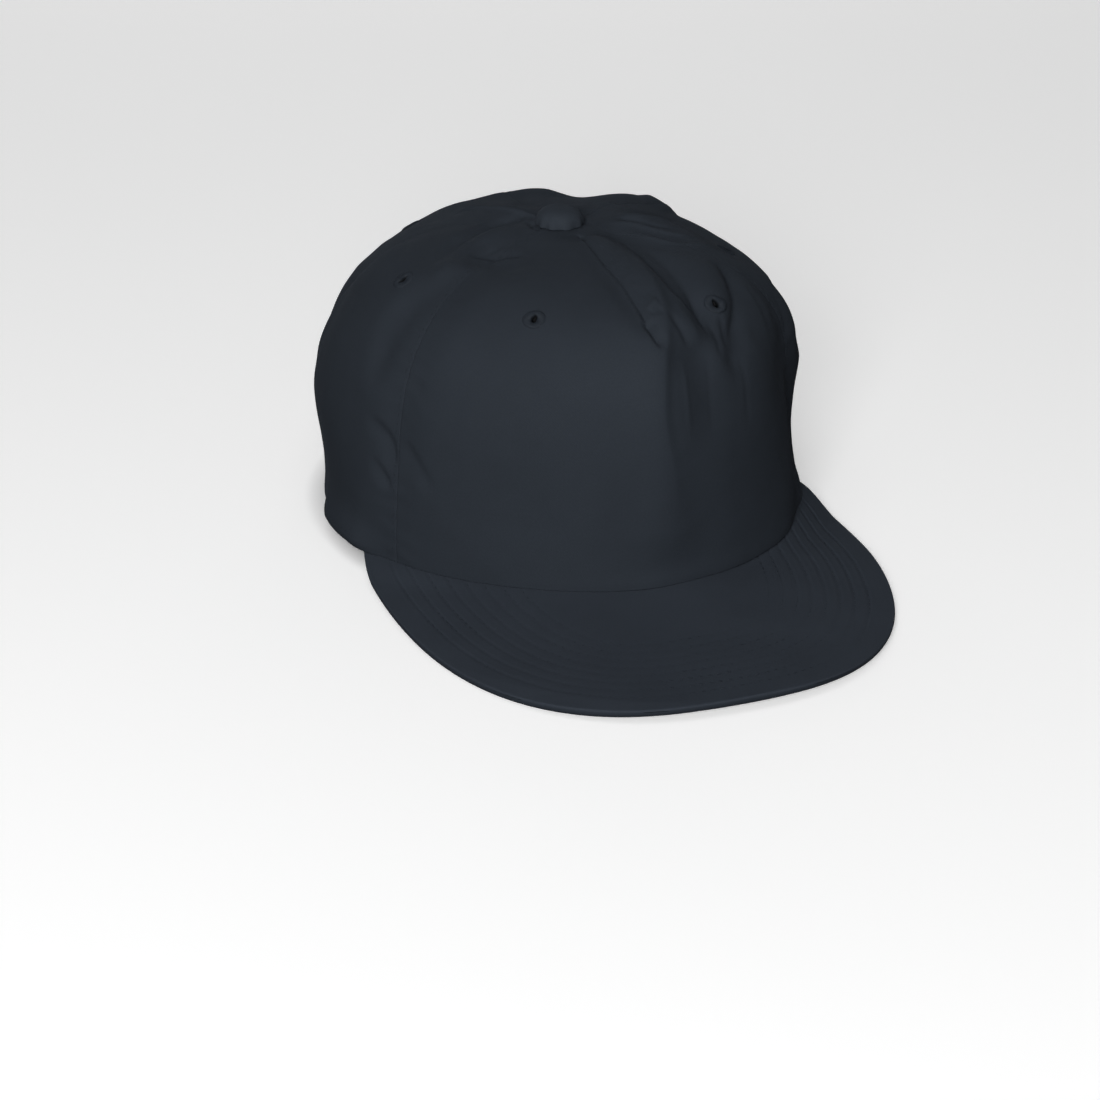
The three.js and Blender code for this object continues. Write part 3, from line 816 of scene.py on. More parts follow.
    def surface(self, around: Array, rise: Array) -> Array:
        """The cloth's outer face, with a rolled hem that is flatter over the peak.

        Args:
            around: Directions.
            rise: Rises.

        Returns:
            Its points.
        """
        around, rise = np.broadcast_arrays(np.asarray(around, float), np.asarray(rise, float))
        flat_around, flat_rise = around.ravel(), rise.ravel()
        points = self.form.smooth(flat_around, flat_rise)
        outward = self.form.outward(self.form.smooth, flat_around, flat_rise)
        proud = self.proudness(flat_around, flat_rise, points, outward)
        over_rim = points[:, 2] - self.form.rim_height(flat_around)
        behind = ramp(*self.HEM_ROLL_TURNS, turn_from_front(flat_around))
        roll = mix(self.HEM_ROLL_OVER_PEAK, self.HEM_ROLL, behind)
        proud = proud - roll * np.exp(-((over_rim / self.HEM_ROLL_HEIGHT) ** 2))
        return (points + outward * proud[:, None]).reshape(*around.shape, 3)

    def outward(self, around: Array, rise: Array) -> Array:
        """The cloth's outward directions."""
        return self.form.outward(self.surface, around, rise, step=self.OUTWARD_STEP)

    def place(self, around: float, rise: float) -> tuple[Array, Array]:
        """A point of the cloth and its outward direction there."""
        here = np.array([around], float), np.array([rise], float)
        return self.surface(*here)[0], self.outward(*here)[0]


@dataclass(frozen=True)
class Shell:
    """A closed mesh as arrays: points, faces of four corners and each point's place on the cloth."""

    points: Array
    faces: Array
    weave: Array


def loft(sections: Array, weave: Array, holes: Array | None = None, rows: int = 0) -> Shell:
    """A closed shell through a row of closed sections.

    Section s and its point p are joined to section s + 1 and point p + 1 by one face each. The
    first half of a section's points faces the second half, which runs back, and the two end
    sections are filled between the halves.

    Args:
        sections: Points, by section, by place in the section, by coordinate.
        weave: Each point's place on the flat cloth, of the same first two axes.
        holes: Which cells between the first rows of each section are cut out, on both halves.
        rows: How many points of each half a hole can take from.

    Returns:
        The shell.
    """
    count, size = sections.shape[:2]
    index = np.arange(count * size).reshape(count, size)
    across = np.roll(index, -1, axis=1)
    quads = np.stack([index[:-1], index[1:], across[1:], across[:-1]], axis=-1)
    keep = np.ones(quads.shape[:2], bool)
    walls = []
    if holes is not None:
        keep[:, : rows - 1] &= ~holes
        keep[:, size - rows: size - 1] &= ~holes[:, ::-1]
        walls = hole_walls(index, holes, rows)
    half = size // 2
    front = np.arange(half - 1)
    back = size - 1 - front
    first, last = index[0], index[-1]
    caps = [
        np.stack([first[front], first[front + 1], first[back - 1], first[back]], axis=-1),
        np.stack([last[front], last[back], last[back - 1], last[front + 1]], axis=-1),
    ]
    faces = np.concatenate([quads[keep].reshape(-1, 4), *caps, *walls])
    return Shell(sections.reshape(-1, 3), faces, weave.reshape(-1, 2))


def hole_walls(index: Array, holes: Array, rows: int) -> list[Array]:
    """Faces that close the wall's thickness round the cells that a hole takes away.

    Args:
        index: Each section's point numbers.
        holes: Which cells between the first rows of each section are cut out.
        rows: How many points each half has.

    Returns:
        Arrays of faces, one for each of the four sides that a cell can have.
    """
    outer = index[:, :rows]
    inner = index[:, ::-1][:, :rows]
    padded = np.pad(holes, 1)
    here = padded[1:-1, 1:-1]
    low, high = np.nonzero(here & ~padded[:-2, 1:-1]), np.nonzero(here & ~padded[2:, 1:-1])
    under, over = np.nonzero(here & ~padded[1:-1, :-2]), np.nonzero(here & ~padded[1:-1, 2:])
    sides = (
        (low, (0, 0), (0, 1)),
        (high, (1, 1), (1, 0)),
        (under, (1, 0), (0, 0)),
        (over, (0, 1), (1, 1)),
    )
    walls = []
    for (column, row), start, end in sides:
        a = (column + start[0], row + start[1])
        b = (column + end[0], row + end[1])
        walls.append(np.stack([outer[a], outer[b], inner[b], inner[a]], axis=-1))
    return walls


def make_object(name: str, shell: Shell, material: Material) -> bpy.types.Object:
    """A smooth-shaded object of a shell, in metres, with its places on the cloth as an attribute.

    Args:
        name: The object's name.
        shell: Its points and faces.
        material: Its finish.

    Returns:
        The object, linked to the scene.
    """
    mesh = bpy.data.meshes.new(name)
    mesh.vertices.add(len(shell.points))
    mesh.vertices.foreach_set("co", (shell.points * METRES).astype(np.float32).ravel())
    mesh.loops.add(shell.faces.size)
    mesh.loops.foreach_set("vertex_index", shell.faces.astype(np.int32).ravel())
    mesh.polygons.add(len(shell.faces))
    starts = np.arange(0, shell.faces.size, 4, dtype=np.int32)
    mesh.polygons.foreach_set("loop_start", starts)
    mesh.polygons.foreach_set("use_smooth", np.ones(len(starts), bool))
    mesh.update(calc_edges=True)
    mesh.validate()
    place = mesh.attributes.new("weave", "FLOAT_VECTOR", "POINT")
    flat = np.concatenate([shell.weave, np.zeros((len(shell.weave), 1))], axis=1)
    place.data.foreach_set("vector", flat.astype(np.float32).ravel())
    mesh.materials.append(material)
    made = bpy.data.objects.new(name, mesh)
    bpy.context.scene.collection.objects.link(made)
    return made


def join_shells(shells: list[Shell]) -> Shell:
    """Several shells as one.

    Args:
        shells: The shells.

    Returns:
        One shell with all their points and faces.
    """
    starts = np.cumsum([0] + [len(shell.points) for shell in shells[:-1]])
    return Shell(
        np.concatenate([shell.points for shell in shells]),
        np.concatenate([shell.faces + start for shell, start in zip(shells, starts)]),
        np.concatenate([shell.weave for shell in shells]),
    )


def dress(piece: bpy.types.Object, slot: str, *nodes: str) -> bpy.types.Object:
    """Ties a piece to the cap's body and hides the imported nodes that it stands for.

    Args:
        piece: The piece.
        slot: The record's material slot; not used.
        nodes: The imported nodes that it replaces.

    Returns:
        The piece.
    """
    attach(piece, BODY)
    if nodes:
        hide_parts(*nodes)
    LOG.info("%s: %d faces", piece.name, len(piece.data.polygons))
    return piece


@dataclass(frozen=True)
class Stitch:
    """One stitch of thread: a low arch whose ends dive into the cloth."""

    length: float = 2.3
    radius: float = 0.16
    lift: float = -0.03
    dive: float = 0.45
    taper: float = 0.8
    rings: tuple[float, ...] = (-1.0, -0.72, 0.0, 0.72, 1.0)

    def row(self, places: Array, along: Array, outward: Array) -> Shell:
        """Stitches at some places.

        Along its length a stitch's centre is lift - dive s^4 over the cloth for s from -1 to 1,
        and its round section's radius is sqrt(1 - taper s^4) of the thread's.

        Args:
            places: The middle of each stitch, on the cloth.
            along: Each stitch's direction.
            outward: The cloth's outward direction at each stitch.

        Returns:
            All the stitches as one shell.
        """
        along = unit(along - outward * (along * outward).sum(-1, keepdims=True))
        across = np.cross(outward, along)
        share = np.array(self.rings)
        turn = np.radians(np.arange(0, 360, 60))
        size = self.radius * np.sqrt(1.0 - self.taper * share ** 4)
        height = self.lift - self.dive * share ** 4
        side = size[:, None] * np.cos(turn)
        rise = height[:, None] + size[:, None] * np.sin(turn)
        run = np.broadcast_to((share * self.length / 2.0)[:, None], side.shape)
        shape = (
            along[:, None, None, :] * run[..., None]
            + across[:, None, None, :] * side[..., None]
            + outward[:, None, None, :] * rise[..., None]
        )
        return self._tubes(places[:, None, None, :] + shape)

    @staticmethod
    def _tubes(points: Array) -> Shell:
        """Closed tubes through rings of six points, whose ends are two faces of four corners each.

        Args:
            points: Points by tube, ring and place in the ring.

        Returns:
            The tubes as one shell.
        """
        count, rings, sides = points.shape[:3]
        index = np.arange(count * rings * sides).reshape(count, rings, sides)
        around = np.roll(index, -1, axis=2)
        tube = np.stack([index[:, :-1], around[:, :-1], around[:, 1:], index[:, 1:]], axis=-1)
        first, last = index[:, 0], index[:, -1]
        ends = [
            first[:, [3, 2, 1, 0]],
            first[:, [5, 4, 3, 0]],
            last[:, [0, 1, 2, 3]],
            last[:, [0, 3, 4, 5]],
        ]
        faces = np.concatenate([tube.reshape(-1, 4), *ends])
        places = points.reshape(-1, 3)
        return Shell(places, faces, places[:, :2])


class Weave(Enum):
    """How a cloth is woven."""

    PLAIN = "plain"
    TWILL = "twill"


class Nodes:
    """Short calls for building a material's nodes, on sockets or plain values."""

    def __init__(self, name: str) -> None:
        """Starts an empty material with one Principled shader."""
        self.material = bpy.data.materials.new(name)
        self.material.use_nodes = True
        self.shader = self.material.node_tree.nodes["Principled BSDF"]

    def feed(self, node: bpy.types.Node, inputs: dict[int | str, object]) -> None:
        """Joins sockets to a node's inputs, or sets their values.

        Args:
            node: The node.
            inputs: A socket or a value for each input, by name or number.
        """
        for name, value in inputs.items():
            if isinstance(value, Socket):
                self.material.node_tree.links.new(value, node.inputs[name])
            else:
                node.inputs[name].default_value = value

    def add(self, kind: str, inputs: dict[int | str, object], **values: object) -> bpy.types.NodeOutputs:
        """Adds a node.

        Args:
            kind: Blender's name for it.
            inputs: A socket or a value for each input that isn't left as it is.
            values: Its other properties, by name.

        Returns:
            Its outputs.
        """
        node = self.material.node_tree.nodes.new(kind)
        for name, value in values.items():
            setattr(node, name, value)
        self.feed(node, inputs)
        return node.outputs

    def math(self, operation: str, *terms: object) -> Socket:
        """The result of a sum on sockets or numbers."""
        return self.add("ShaderNodeMath", dict(enumerate(terms)), operation=operation)[0]

    def noise(self, place: Socket, scale: float, detail: float) -> Socket:
        """Noise from 0 to 1 at a place."""
        inputs = {"Vector": place, "Scale": scale, "Detail": detail}
        return self.add("ShaderNodeTexNoise", inputs)["Fac"]

    def span(self, value: Socket, low: float, high: float) -> Socket:
        """A value from 0 to 1 spread over a range."""
        inputs = {"Value": value, "To Min": low, "To Max": high}
        return self.add("ShaderNodeMapRange", inputs)["Result"]

    def colour(self, base: tuple[float, float, float], bright: Socket) -> Socket:
        """A linear colour times a brightness."""
        return self.add("ShaderNodeVectorMath", {0: base, "Scale": bright}, operation="SCALE")[0]

    def bump(self, height: Socket, distance: float, strength: float) -> Socket:
        """The normal of a relief whose height, where it is 1, is a distance in metres."""
        inputs = {"Height": height, "Distance": distance, "Strength": strength}
        return self.add("ShaderNodeBump", inputs)["Normal"]

    def objects(self) -> Socket:
        """The place on the object."""
        return self.add("ShaderNodeTexCoord", {})["Object"]

    def weave(self) -> Socket:
        """The place on the flat cloth, from the weave attribute."""
        return self.add("ShaderNodeAttribute", {}, attribute_name="weave")["Vector"]

    def parts(self, place: Socket) -> bpy.types.NodeOutputs:
        """A place's X, Y and Z."""
        return self.add("ShaderNodeSeparateXYZ", {0: place})

    def finish(self, **inputs: object) -> Material:
        """The material, its shader's inputs fed by their names with underscores for spaces."""
        self.feed(self.shader, {name.replace("_", " "): value for name, value in inputs.items()})
        return self.material


@dataclass(frozen=True)
class ClothFinish:
    """A woven cloth's finish.

    Attributes:
        pitch: Millimetres from one thread to the next.
        relief: How strongly the weave shows.
        sheen: How much its fibres catch the light at the edges.
        mottle: How much its colour varies.
        mottle_scale: How many times it varies over a metre.
        slub_scale: How many times the finer variation changes over a millimetre.
        fibre_scale: How many times the fibres change over one thread's pitch.
        bump_depth: How high its relief is, in metres.
    """

    name: str
    colour: tuple[float, float, float]
    weave: Weave = Weave.PLAIN
    pitch: float = 0.55
    relief: float = 0.35
    roughness: float = 0.82
    sheen: float = 0.02
    sheen_tint: tuple[float, float, float, float] = (0.62, 0.72, 0.9, 1.0)
    mottle: float = 0.16
    mottle_scale: float = 26.0
    slub_scale: float = 1.3
    fibre_scale: float = 2.4
    bump_depth: float = 0.00008

    def material(self) -> Material:
        """Builds the material.

        Threads run along the cloth's own two directions, from its weave attribute. A plain weave
        is the product of two sines, and a twill a sine along the diagonal.

        Returns:
            The material.
        """
        nodes = Nodes(self.name)
        place = nodes.weave()
        parts = nodes.parts(place)
        turn = 2.0 * math.pi / self.pitch
        across = nodes.math("MULTIPLY", parts["X"], turn)
        along = nodes.math("MULTIPLY", parts["Y"], turn)
        if self.weave is Weave.PLAIN:
            threads = nodes.math("MULTIPLY", nodes.math("SINE", across), nodes.math("SINE", along))
        else:
            threads = nodes.math("SINE", nodes.math("ADD", across, along))
        fibre = nodes.noise(place, self.fibre_scale / self.pitch, 3.0)
        height = nodes.math("ADD", nodes.math("MULTIPLY", threads, 0.5), fibre)
        clouds = nodes.noise(nodes.objects(), self.mottle_scale, 4.0)
        broad = nodes.span(clouds, 1.0 - self.mottle, 1.0 + self.mottle)
        slubs = nodes.noise(place, self.slub_scale, 5.0)
        fine = nodes.span(slubs, 1.0 - 0.6 * self.mottle, 1.0 + 0.6 * self.mottle)
        # painted shade of the weave: the colour is up to 5% lighter where the threads stand high and
        # darker between them
        painted_weave_shade = nodes.math("ADD", nodes.math("MULTIPLY", threads, 0.05), 1.0)
        bright = nodes.math("MULTIPLY", nodes.math("MULTIPLY", broad, fine), painted_weave_shade)
        return nodes.finish(
            Base_Color=nodes.colour(self.colour, bright),
            Normal=nodes.bump(height, self.bump_depth, self.relief),
            Roughness=nodes.span(fibre, self.roughness - 0.05, self.roughness + 0.08),
            Sheen_Weight=self.sheen,
            Sheen_Roughness=0.45,
            Sheen_Tint=self.sheen_tint,
            Specular_IOR_Level=0.12,
        )


@dataclass(frozen=True)
class ThreadFinish:
    """Twisted sewing thread: satin, with fine strands round it.

    Attributes:
        painted_hole_shade: How much darker it is where the weave attribute is 1.
        strand_scale: How many times its strands change over a metre.
        bump_depth: How high its relief is, in metres.
    """

    name: str
    colour: tuple[float, float, float]
    roughness: float = 0.55
    painted_hole_shade: float = 0.0
    strand_scale: float = 3500.0
    bump_depth: float = 0.00005

    def material(self) -> Material:
        """Builds the material: fine noise for the strands, in colour and relief, and where asked a
        painted shade from the weave attribute.

        Returns:
            The material.
        """
        nodes = Nodes(self.name)
        strand = nodes.noise(nodes.objects(), self.strand_scale, 2.0)
        bright = nodes.span(strand, 0.75, 1.25)
        # painted shade: the colour darkens with the weave attribute's first number, which the eyelets
        # set inside their holes
        if self.painted_hole_shade:
            shade = nodes.span(nodes.parts(nodes.weave())["X"], 1.0, 1.0 - self.painted_hole_shade)
            bright = nodes.math("MULTIPLY", bright, shade)
        return nodes.finish(
            Base_Color=nodes.colour(self.colour, bright),
            Normal=nodes.bump(strand, self.bump_depth, 0.4),
            Roughness=nodes.span(strand, self.roughness - 0.08, self.roughness + 0.08),
            Specular_IOR_Level=0.1,
        )


@dataclass(frozen=True)
class PlasticFinish:
    """Satin moulded plastic with a fine grain."""

    name: str
    colour: tuple[float, float, float]
    roughness: float = 0.4
    grain_scale: float = 1800.0
    bump_depth: float = 0.00003

    def material(self) -> Material:
        """Builds the material: grain in relief and a little in colour.

        Returns:
            The material.
        """
        nodes = Nodes(self.name)
        objects = nodes.objects()
        grain = nodes.noise(objects, self.grain_scale, 3.0)
        clouds = nodes.noise(objects, 60.0, 3.0)
        return nodes.finish(
            Base_Color=nodes.colour(self.colour, nodes.span(clouds, 0.85, 1.15)),
            Normal=nodes.bump(grain, self.bump_depth, 0.35),
            Roughness=nodes.span(grain, self.roughness - 0.06, self.roughness + 0.1),
        )


@dataclass(frozen=True)
class SweepFinish:
    """The studio's pale matt paper, whose emission is a painted glow, more as it rises, and off in a
    painted shadow under the crown.

    Attributes:
        wall_height: The height, in metres, at which it gives the wall's painted glow.
        shade_middle: Where the oval of painted shadow under the crown has its middle, in metres.
        shade_edge: How fast the painted glow comes back at the oval's edge.
        shade_start: Where the painted glow starts, in shares of the oval squared.
    """

    name: str = "studio_paper_painted_glow"
    colour: tuple[float, float, float] = (0.82, 0.82, 0.82)
    painted_floor_glow: float = 0.4
    painted_wall_glow: float = 0.8
    wall_height: float = 1.2
    shade_middle: float = 0.0365
    shade_half_width: float = 0.09
    shade_half_length: float = 0.1
    shade_edge: float = 4.0
    shade_start: float = 0.8

    def material(self) -> Material:
        """Builds the material, with the painted glow and the painted shadow in its emission.

        Returns:
            The material.
        """
        nodes = Nodes(self.name)
        objects = nodes.objects()
        clouds = nodes.noise(objects, 3.0, 2.0)
        parts = nodes.parts(objects)
        share = nodes.math("DIVIDE", parts["Z"], self.wall_height)
        # painted glow: the paper's emission rises from the floor's strength to the wall's with height
        glow = nodes.span(share, self.painted_floor_glow, self.painted_wall_glow)
        # painted shadow under the crown: the glow is off inside an oval round the crown's foot
        along = nodes.math("SUBTRACT", parts["Y"], self.shade_middle)
        along = nodes.math("POWER", nodes.math("DIVIDE", along, self.shade_half_length), 2.0)
        across = nodes.math("POWER", nodes.math("DIVIDE", parts["X"], self.shade_half_width), 2.0)
        away = nodes.math("ADD", along, across)
        start = -self.shade_edge * self.shade_start
        outside = nodes.math("MULTIPLY_ADD", away, self.shade_edge, start)
        outside.node.use_clamp = True
        return nodes.finish(
            Base_Color=nodes.colour(self.colour, nodes.span(clouds, 0.99, 1.01)),
            Emission_Color=(1.0, 1.0, 1.0, 1.0),
            Emission_Strength=nodes.math("MULTIPLY", glow, outside),
            Roughness=0.9,
            Specular_IOR_Level=0.0,
        )


@dataclass(frozen=True)
class Panel:
    """One panel of the crown, between two seams."""

    name: str
    start: float
    end: float
    columns: int
    rows: int = 150
    focus: tuple[tuple[float, float, float], ...] = ()

    @property
    def is_back(self) -> bool:
        """Whether the rear opening cuts into the panel."""
        return max(abs(self.start), abs(self.end)) == 180.0


@dataclass(frozen=True)
class Eyelet:
    """A hole bound with thread, at a place on the crown."""

    name: str
    around: float
    rise: float


@dataclass
class Crown:
    """The five panels, their seams' stitches and the rear opening.

    Attributes:
        overlap: How far each panel reaches over its seams.
        hem_flat: How far the flat hem over the peak lies below the rim.
        rim_focus: The half width and strength with which a panel's points gather at its rim.
        seam_focus: The same at its seams.
    """

    cloth: Cloth
    opening_half_width: float = 42.0
    opening_height: float = 44.0
    overlap: float = 0.08
    eyelet_hole: float = 2.0
    hem_points: int = 4
    hem_round: float = 0.3
    hem_flat: float = 0.34
    rim_focus: tuple[float, float] = (3.0, 1.5)
    seam_focus: tuple[float, float] = (3.0, 2.2)
    seam_stitch_offset: float = 1.5
    hem_stitch_offset: float = 4.2
    stitch_pitch: float = 3.0
    dart_stitch_pitch: float = 2.6
    stitch_rises: tuple[float, float] = (2.0, 84.0)
    panels: tuple[Panel, ...] = (
        Panel("front_panel", -57.5, 57.5, 210, focus=((2.0, 9.0, 1.6), (22.0, 16.0, 0.5))),
        Panel("side_panel_right", -119.0, -57.5, 100),
        Panel("side_panel_left", 57.5, 119.0, 100),
        Panel("back_panel_right", -180.0, -119.0, 100),
        Panel("back_panel_left", 119.0, 180.0, 100),
    )
    eyelets: tuple[Eyelet, ...] = (
        Eyelet("eyelet_front_right", -26.5, 50.0),
        Eyelet("eyelet_front_left", 27.5, 49.2),
        Eyelet("eyelet_side_right", -79.5, 52.5),
        Eyelet("eyelet_side_left", 79.5, 52.5),
        Eyelet("eyelet_back_right", -148.0, 50.0),
        Eyelet("eyelet_back_left", 148.0, 50.0),
    )

    def even_rises(self, around: float, count: int) -> Array:
        """Rises that divide the crown's upright section evenly by length, closer at the rim.

        Args:
            around: The section's direction.
            count: How many rises to find.

        Returns:
            The rises, from the rim to the top.
        """
        fine = np.linspace(0.0, self.cloth.form.top_rise, 600)
        lengths = run_lengths(self.cloth.form.smooth(around, fine))
        wanted = spread(0.0, lengths[-1], count, [(0.0, *self.rim_focus)])
        return np.interp(wanted, lengths, fine)

    def arch_places(self, side: float, count: int) -> Array:
        """Places of the rear opening's edge from its foot to the centre seam, as around and rise.

        The edge is half an ellipse across the back. Each of its points is found on the crown by
        repeated small corrections of around by the error across and of rise by the error upwards.

        Args:
            side: 1 for the wearer's left and -1 for the right.
            count: How many places to find.

        Returns:
            The places, by around and rise.
        """
        form = self.cloth.form
        turn = np.linspace(0.0, math.pi / 2.0, count)
        x = self.opening_half_width * np.cos(turn)
        z = self.opening_height * np.sin(turn)
        around = 180.0 - np.degrees(np.arcsin(x / form.back_depth))
        rise = z * 0.5
        step = 0.1
        for _ in range(40):
            here = form.smooth(around, rise)
            wider = (form.smooth(around + step, rise)[:, 0] - here[:, 0]) / step
            higher = np.maximum((form.smooth(around, rise + step)[:, 2] - here[:, 2]) / step, 0.2)
            around = np.clip(around + 0.8 * (x - here[:, 0]) / wider, 140.0, 180.0)
            rise = np.clip(rise + 0.8 * (z - here[:, 2]) / higher, 0.0, 60.0)
        around[-1] = 180.0
        rise[0] = 0.0
        return np.stack([side * around, rise], axis=-1)

    def panel_places(self, panel: Panel) -> tuple[Array, Array]:
        """Around and rise at each point of a panel's grid.

        Columns run from the panel's lower edge to the top. On a back panel the lower edge turns up
        along the rear opening, and around goes evenly from the edge's to the top's along a column.

        Args:
            panel: The panel.

        Returns:
            Arrays of around and of rise, by column and row.
        """
        seams = [(panel.start, *self.seam_focus), (panel.end, *self.seam_focus)]
        top = spread(panel.start, panel.end, panel.columns, seams + list(panel.focus))
        middle = (panel.start + panel.end) / 2.0
        if not panel.is_back:
            rises = self.even_rises(middle, panel.rows)
            return tuple(np.meshgrid(top, rises, indexing="ij"))
        side = math.copysign(1.0, middle)
        arch = self.arch_places(side, 60)
        outer_seam = side * min(abs(panel.start), abs(panel.end))
        rim = np.stack([np.linspace(outer_seam, arch[0, 0], 60), np.zeros(60)], axis=-1)
        edge = np.concatenate([rim, arch[1:]])
        lengths = run_lengths(self.cloth.form.smooth(edge[:, 0], edge[:, 1]))
        ends = [(0.0, *self.seam_focus), (lengths[-1], *self.seam_focus)]
        low = line_at(edge, lengths, spread(0.0, lengths[-1], panel.columns, ends))
        top = np.sort(np.abs(top)) * side
        if side < 0:
            low, top = low[::-1], top[::-1]
        share = self.even_rises(middle, panel.rows) / self.cloth.form.top_rise
        around = mix(low[:, :1], top[:, None], ramp(0.0, 1.0, share))
        rise = mix(low[:, 1:], self.cloth.form.top_rise, share)
        return around, rise

    def panel_shell(self, panel: Panel) -> Shell:
        """A panel's wall: its outer face, a hem and an inner face, with eyelet holes.

        The hem is round, and flat where it meets the peak.

        Args:
            panel: The panel.

        Returns:
            The wall's shell.
        """
        around, rise = self.panel_places(panel)
        reach = self.cloth.form.oval_radius(around) * cosine(rise)
        widen = np.degrees(self.overlap / np.maximum(reach, 5.0))
        side = np.linspace(-1.0, 1.0, panel.columns)[:, None]
        outer = self.cloth.surface(around + widen * np.sign(side) * (np.abs(side) == 1.0), rise)
        inner = outer - rim_normals(outer) * self.cloth.form.thickness
        weave = flat_places(run_lengths(outer[:, 0]), run_lengths(outer[panel.columns // 2]))
        turn = np.linspace(0.0, math.pi, self.hem_points + 2)[1:-1]
        middle = (outer[:, :1] + inner[:, :1]) / 2.0
        swing = (outer[:, :1] - inner[:, :1]) / 2.0
        down = np.array([0.0, 0.0, -1.0])
        drop = self.hem_round * down * np.sin(turn)[None, :, None]
        round_hem = middle + swing * np.cos(turn)[None, :, None] + drop
        flat_turn = np.linspace(1.0, -1.0, self.hem_points)[None, :, None]
        flat_hem = middle + swing * flat_turn + self.hem_flat * down
        behind = ramp(-3.0, 1.0, turn_from_front(around[:, 0]) - self.cloth.form.peak_end_around)
        hem = mix(flat_hem, round_hem, behind[:, None, None])
        hem[..., 2] = np.maximum(hem[..., 2], 0.0)
        hem_weave = np.broadcast_to(weave[:, :1], (panel.columns, self.hem_points, 2))
        sections = np.concatenate([outer[:, ::-1], hem, inner], axis=1)
        places = np.concatenate([weave[:, ::-1], hem_weave, weave], axis=1)
        holes = self.eyelet_cells(outer)[:, ::-1]
        return loft(sections, places, holes, panel.rows)

    def eyelet_cells(self, outer: Array) -> Array:
        """Which of a panel's cells lie within an eyelet's hole.

        Args:
            outer: The panel's outer face, by column and row.

        Returns:
            A flag for each cell.
        """
        centre = (outer[:-1, :-1] + outer[1:, 1:] + outer[1:, :-1] + outer[:-1, 1:]) / 4.0
        cut = np.zeros(centre.shape[:2], bool)
        for eyelet in self.eyelets:
            place, _ = self.cloth.place(eyelet.around, eyelet.rise)
            cut |= np.linalg.norm(centre - place, axis=-1) < self.eyelet_hole
        return cut

    def stitch_line(self, track: Array, offset: float, pitch: float) -> tuple[Array, Array, Array]:
        """Places for stitches along a track over the cloth.

        Args:
            track: Around and rise along the line that the row follows.
            offset: How far the row lies to the left of the line, seen from outside.
            pitch: Millimetres from one stitch to the next.

        Returns:
            The stitches' places, directions and outward directions.
        """
        points = self.cloth.surface(track[:, 0], track[:, 1])
        lengths = run_lengths(points)
        wanted = stitch_middles(lengths[-1], pitch)
        around, rise = line_at(track, lengths, wanted).T
        along = unit(line_at(np.gradient(points, axis=0), lengths, wanted))
        aside = np.cross(self.cloth.outward(around, rise), along) * offset
        reach = self.cloth.form.oval_radius(around) * cosine(rise)
        step = 0.2
        here = self.cloth.surface(around, rise)
        sideways = self.cloth.surface(around + step, rise) - here
        upwards = self.cloth.surface(around, rise + step) - here
        turned = (aside * unit(sideways)).sum(-1) / np.maximum(np.linalg.norm(sideways, axis=-1), TINY)
        raised = (aside * unit(upwards)).sum(-1) / np.maximum(np.linalg.norm(upwards, axis=-1), TINY)
        around = around + step * turned * (reach > 1.0)
        rise = np.clip(rise + step * raised, 0.0, self.cloth.form.top_rise)
        return self.cloth.surface(around, rise), along, self.cloth.outward(around, rise)

    def seam_stitches(self) -> Shell:
        """Topstitching beside each seam, along the hem, round the rear opening and beside the dart.

        Returns:
            All the stitches as one shell.
        """
        aside = self.seam_stitch_offset
        low, high = self.stitch_rises
        rises = np.linspace(low, high, 160)
        tracks = [(self.upright(seam, rises), aside) for seam in (-57.5, -119.0)]
        tracks += [(self.upright(seam, rises), -aside) for seam in (57.5, 119.0)]
        arch_top = self.arch_places(1.0, 30)[-1, 1]
        rises = np.linspace(arch_top + 3.0, high, 120)
        tracks += [(self.upright(180.0, rises), offset) for offset in (aside, -aside)]
        for side in (-1.0, 1.0):
            start = side * (self.cloth.form.peak_end_around + 1.5)
            rim = np.linspace(start, self.arch_places(side, 30)[0, 0], 120)
            hem = np.stack([rim, np.full(120, 0.05)], axis=-1)
            edge = np.concatenate([hem, self.arch_places(side, 60)[1:]])
            tracks.append((edge, self.hem_stitch_offset * side))
        lines = [self.stitch_line(track, offset, self.stitch_pitch) for track, offset in tracks]
        lines.append(self.stitch_line(curve_through(DART, 60)[2:], -aside, self.dart_stitch_pitch))
        lines.append(self.bartack())
        return join_shells([Stitch().row(*line) for line in lines])

    @staticmethod
    def upright(around: float, rises: Array) -> Array:
        """A track up the crown in one direction."""
        return np.stack([np.full(len(rises), around), rises], axis=-1)

    def bartack(self) -> tuple[Array, Array, Array]:
        """Places for close stitches across the dart's lower end.

        Returns:
            The stitches' places, directions and outward directions.
        """
        half_stitch = 0.5
        end_around, end_rise = DART[-1]
        rises = end_rise + np.linspace(0.0, 2.2, 8)
        around = np.full(8, end_around - half_stitch)
        places = self.cloth.surface(around, rises)
        across = self.cloth.surface(around + half_stitch, rises) - places
        return places, across, self.cloth.outward(around, rises)

    def build(self, cloth: Material, thread: Material) -> None:
        """Makes the panels and their stitches.

        Args:
            cloth: The panels' finish.
            thread: The stitches' finish.
        """
        for panel in self.panels:
            made = make_object(panel.name + "_cloth", self.panel_shell(panel), cloth)
            dress(made, "crown_cloth", panel.name)
        dress(make_object("crown_stitches", self.seam_stitches(), thread), "crown_cloth")


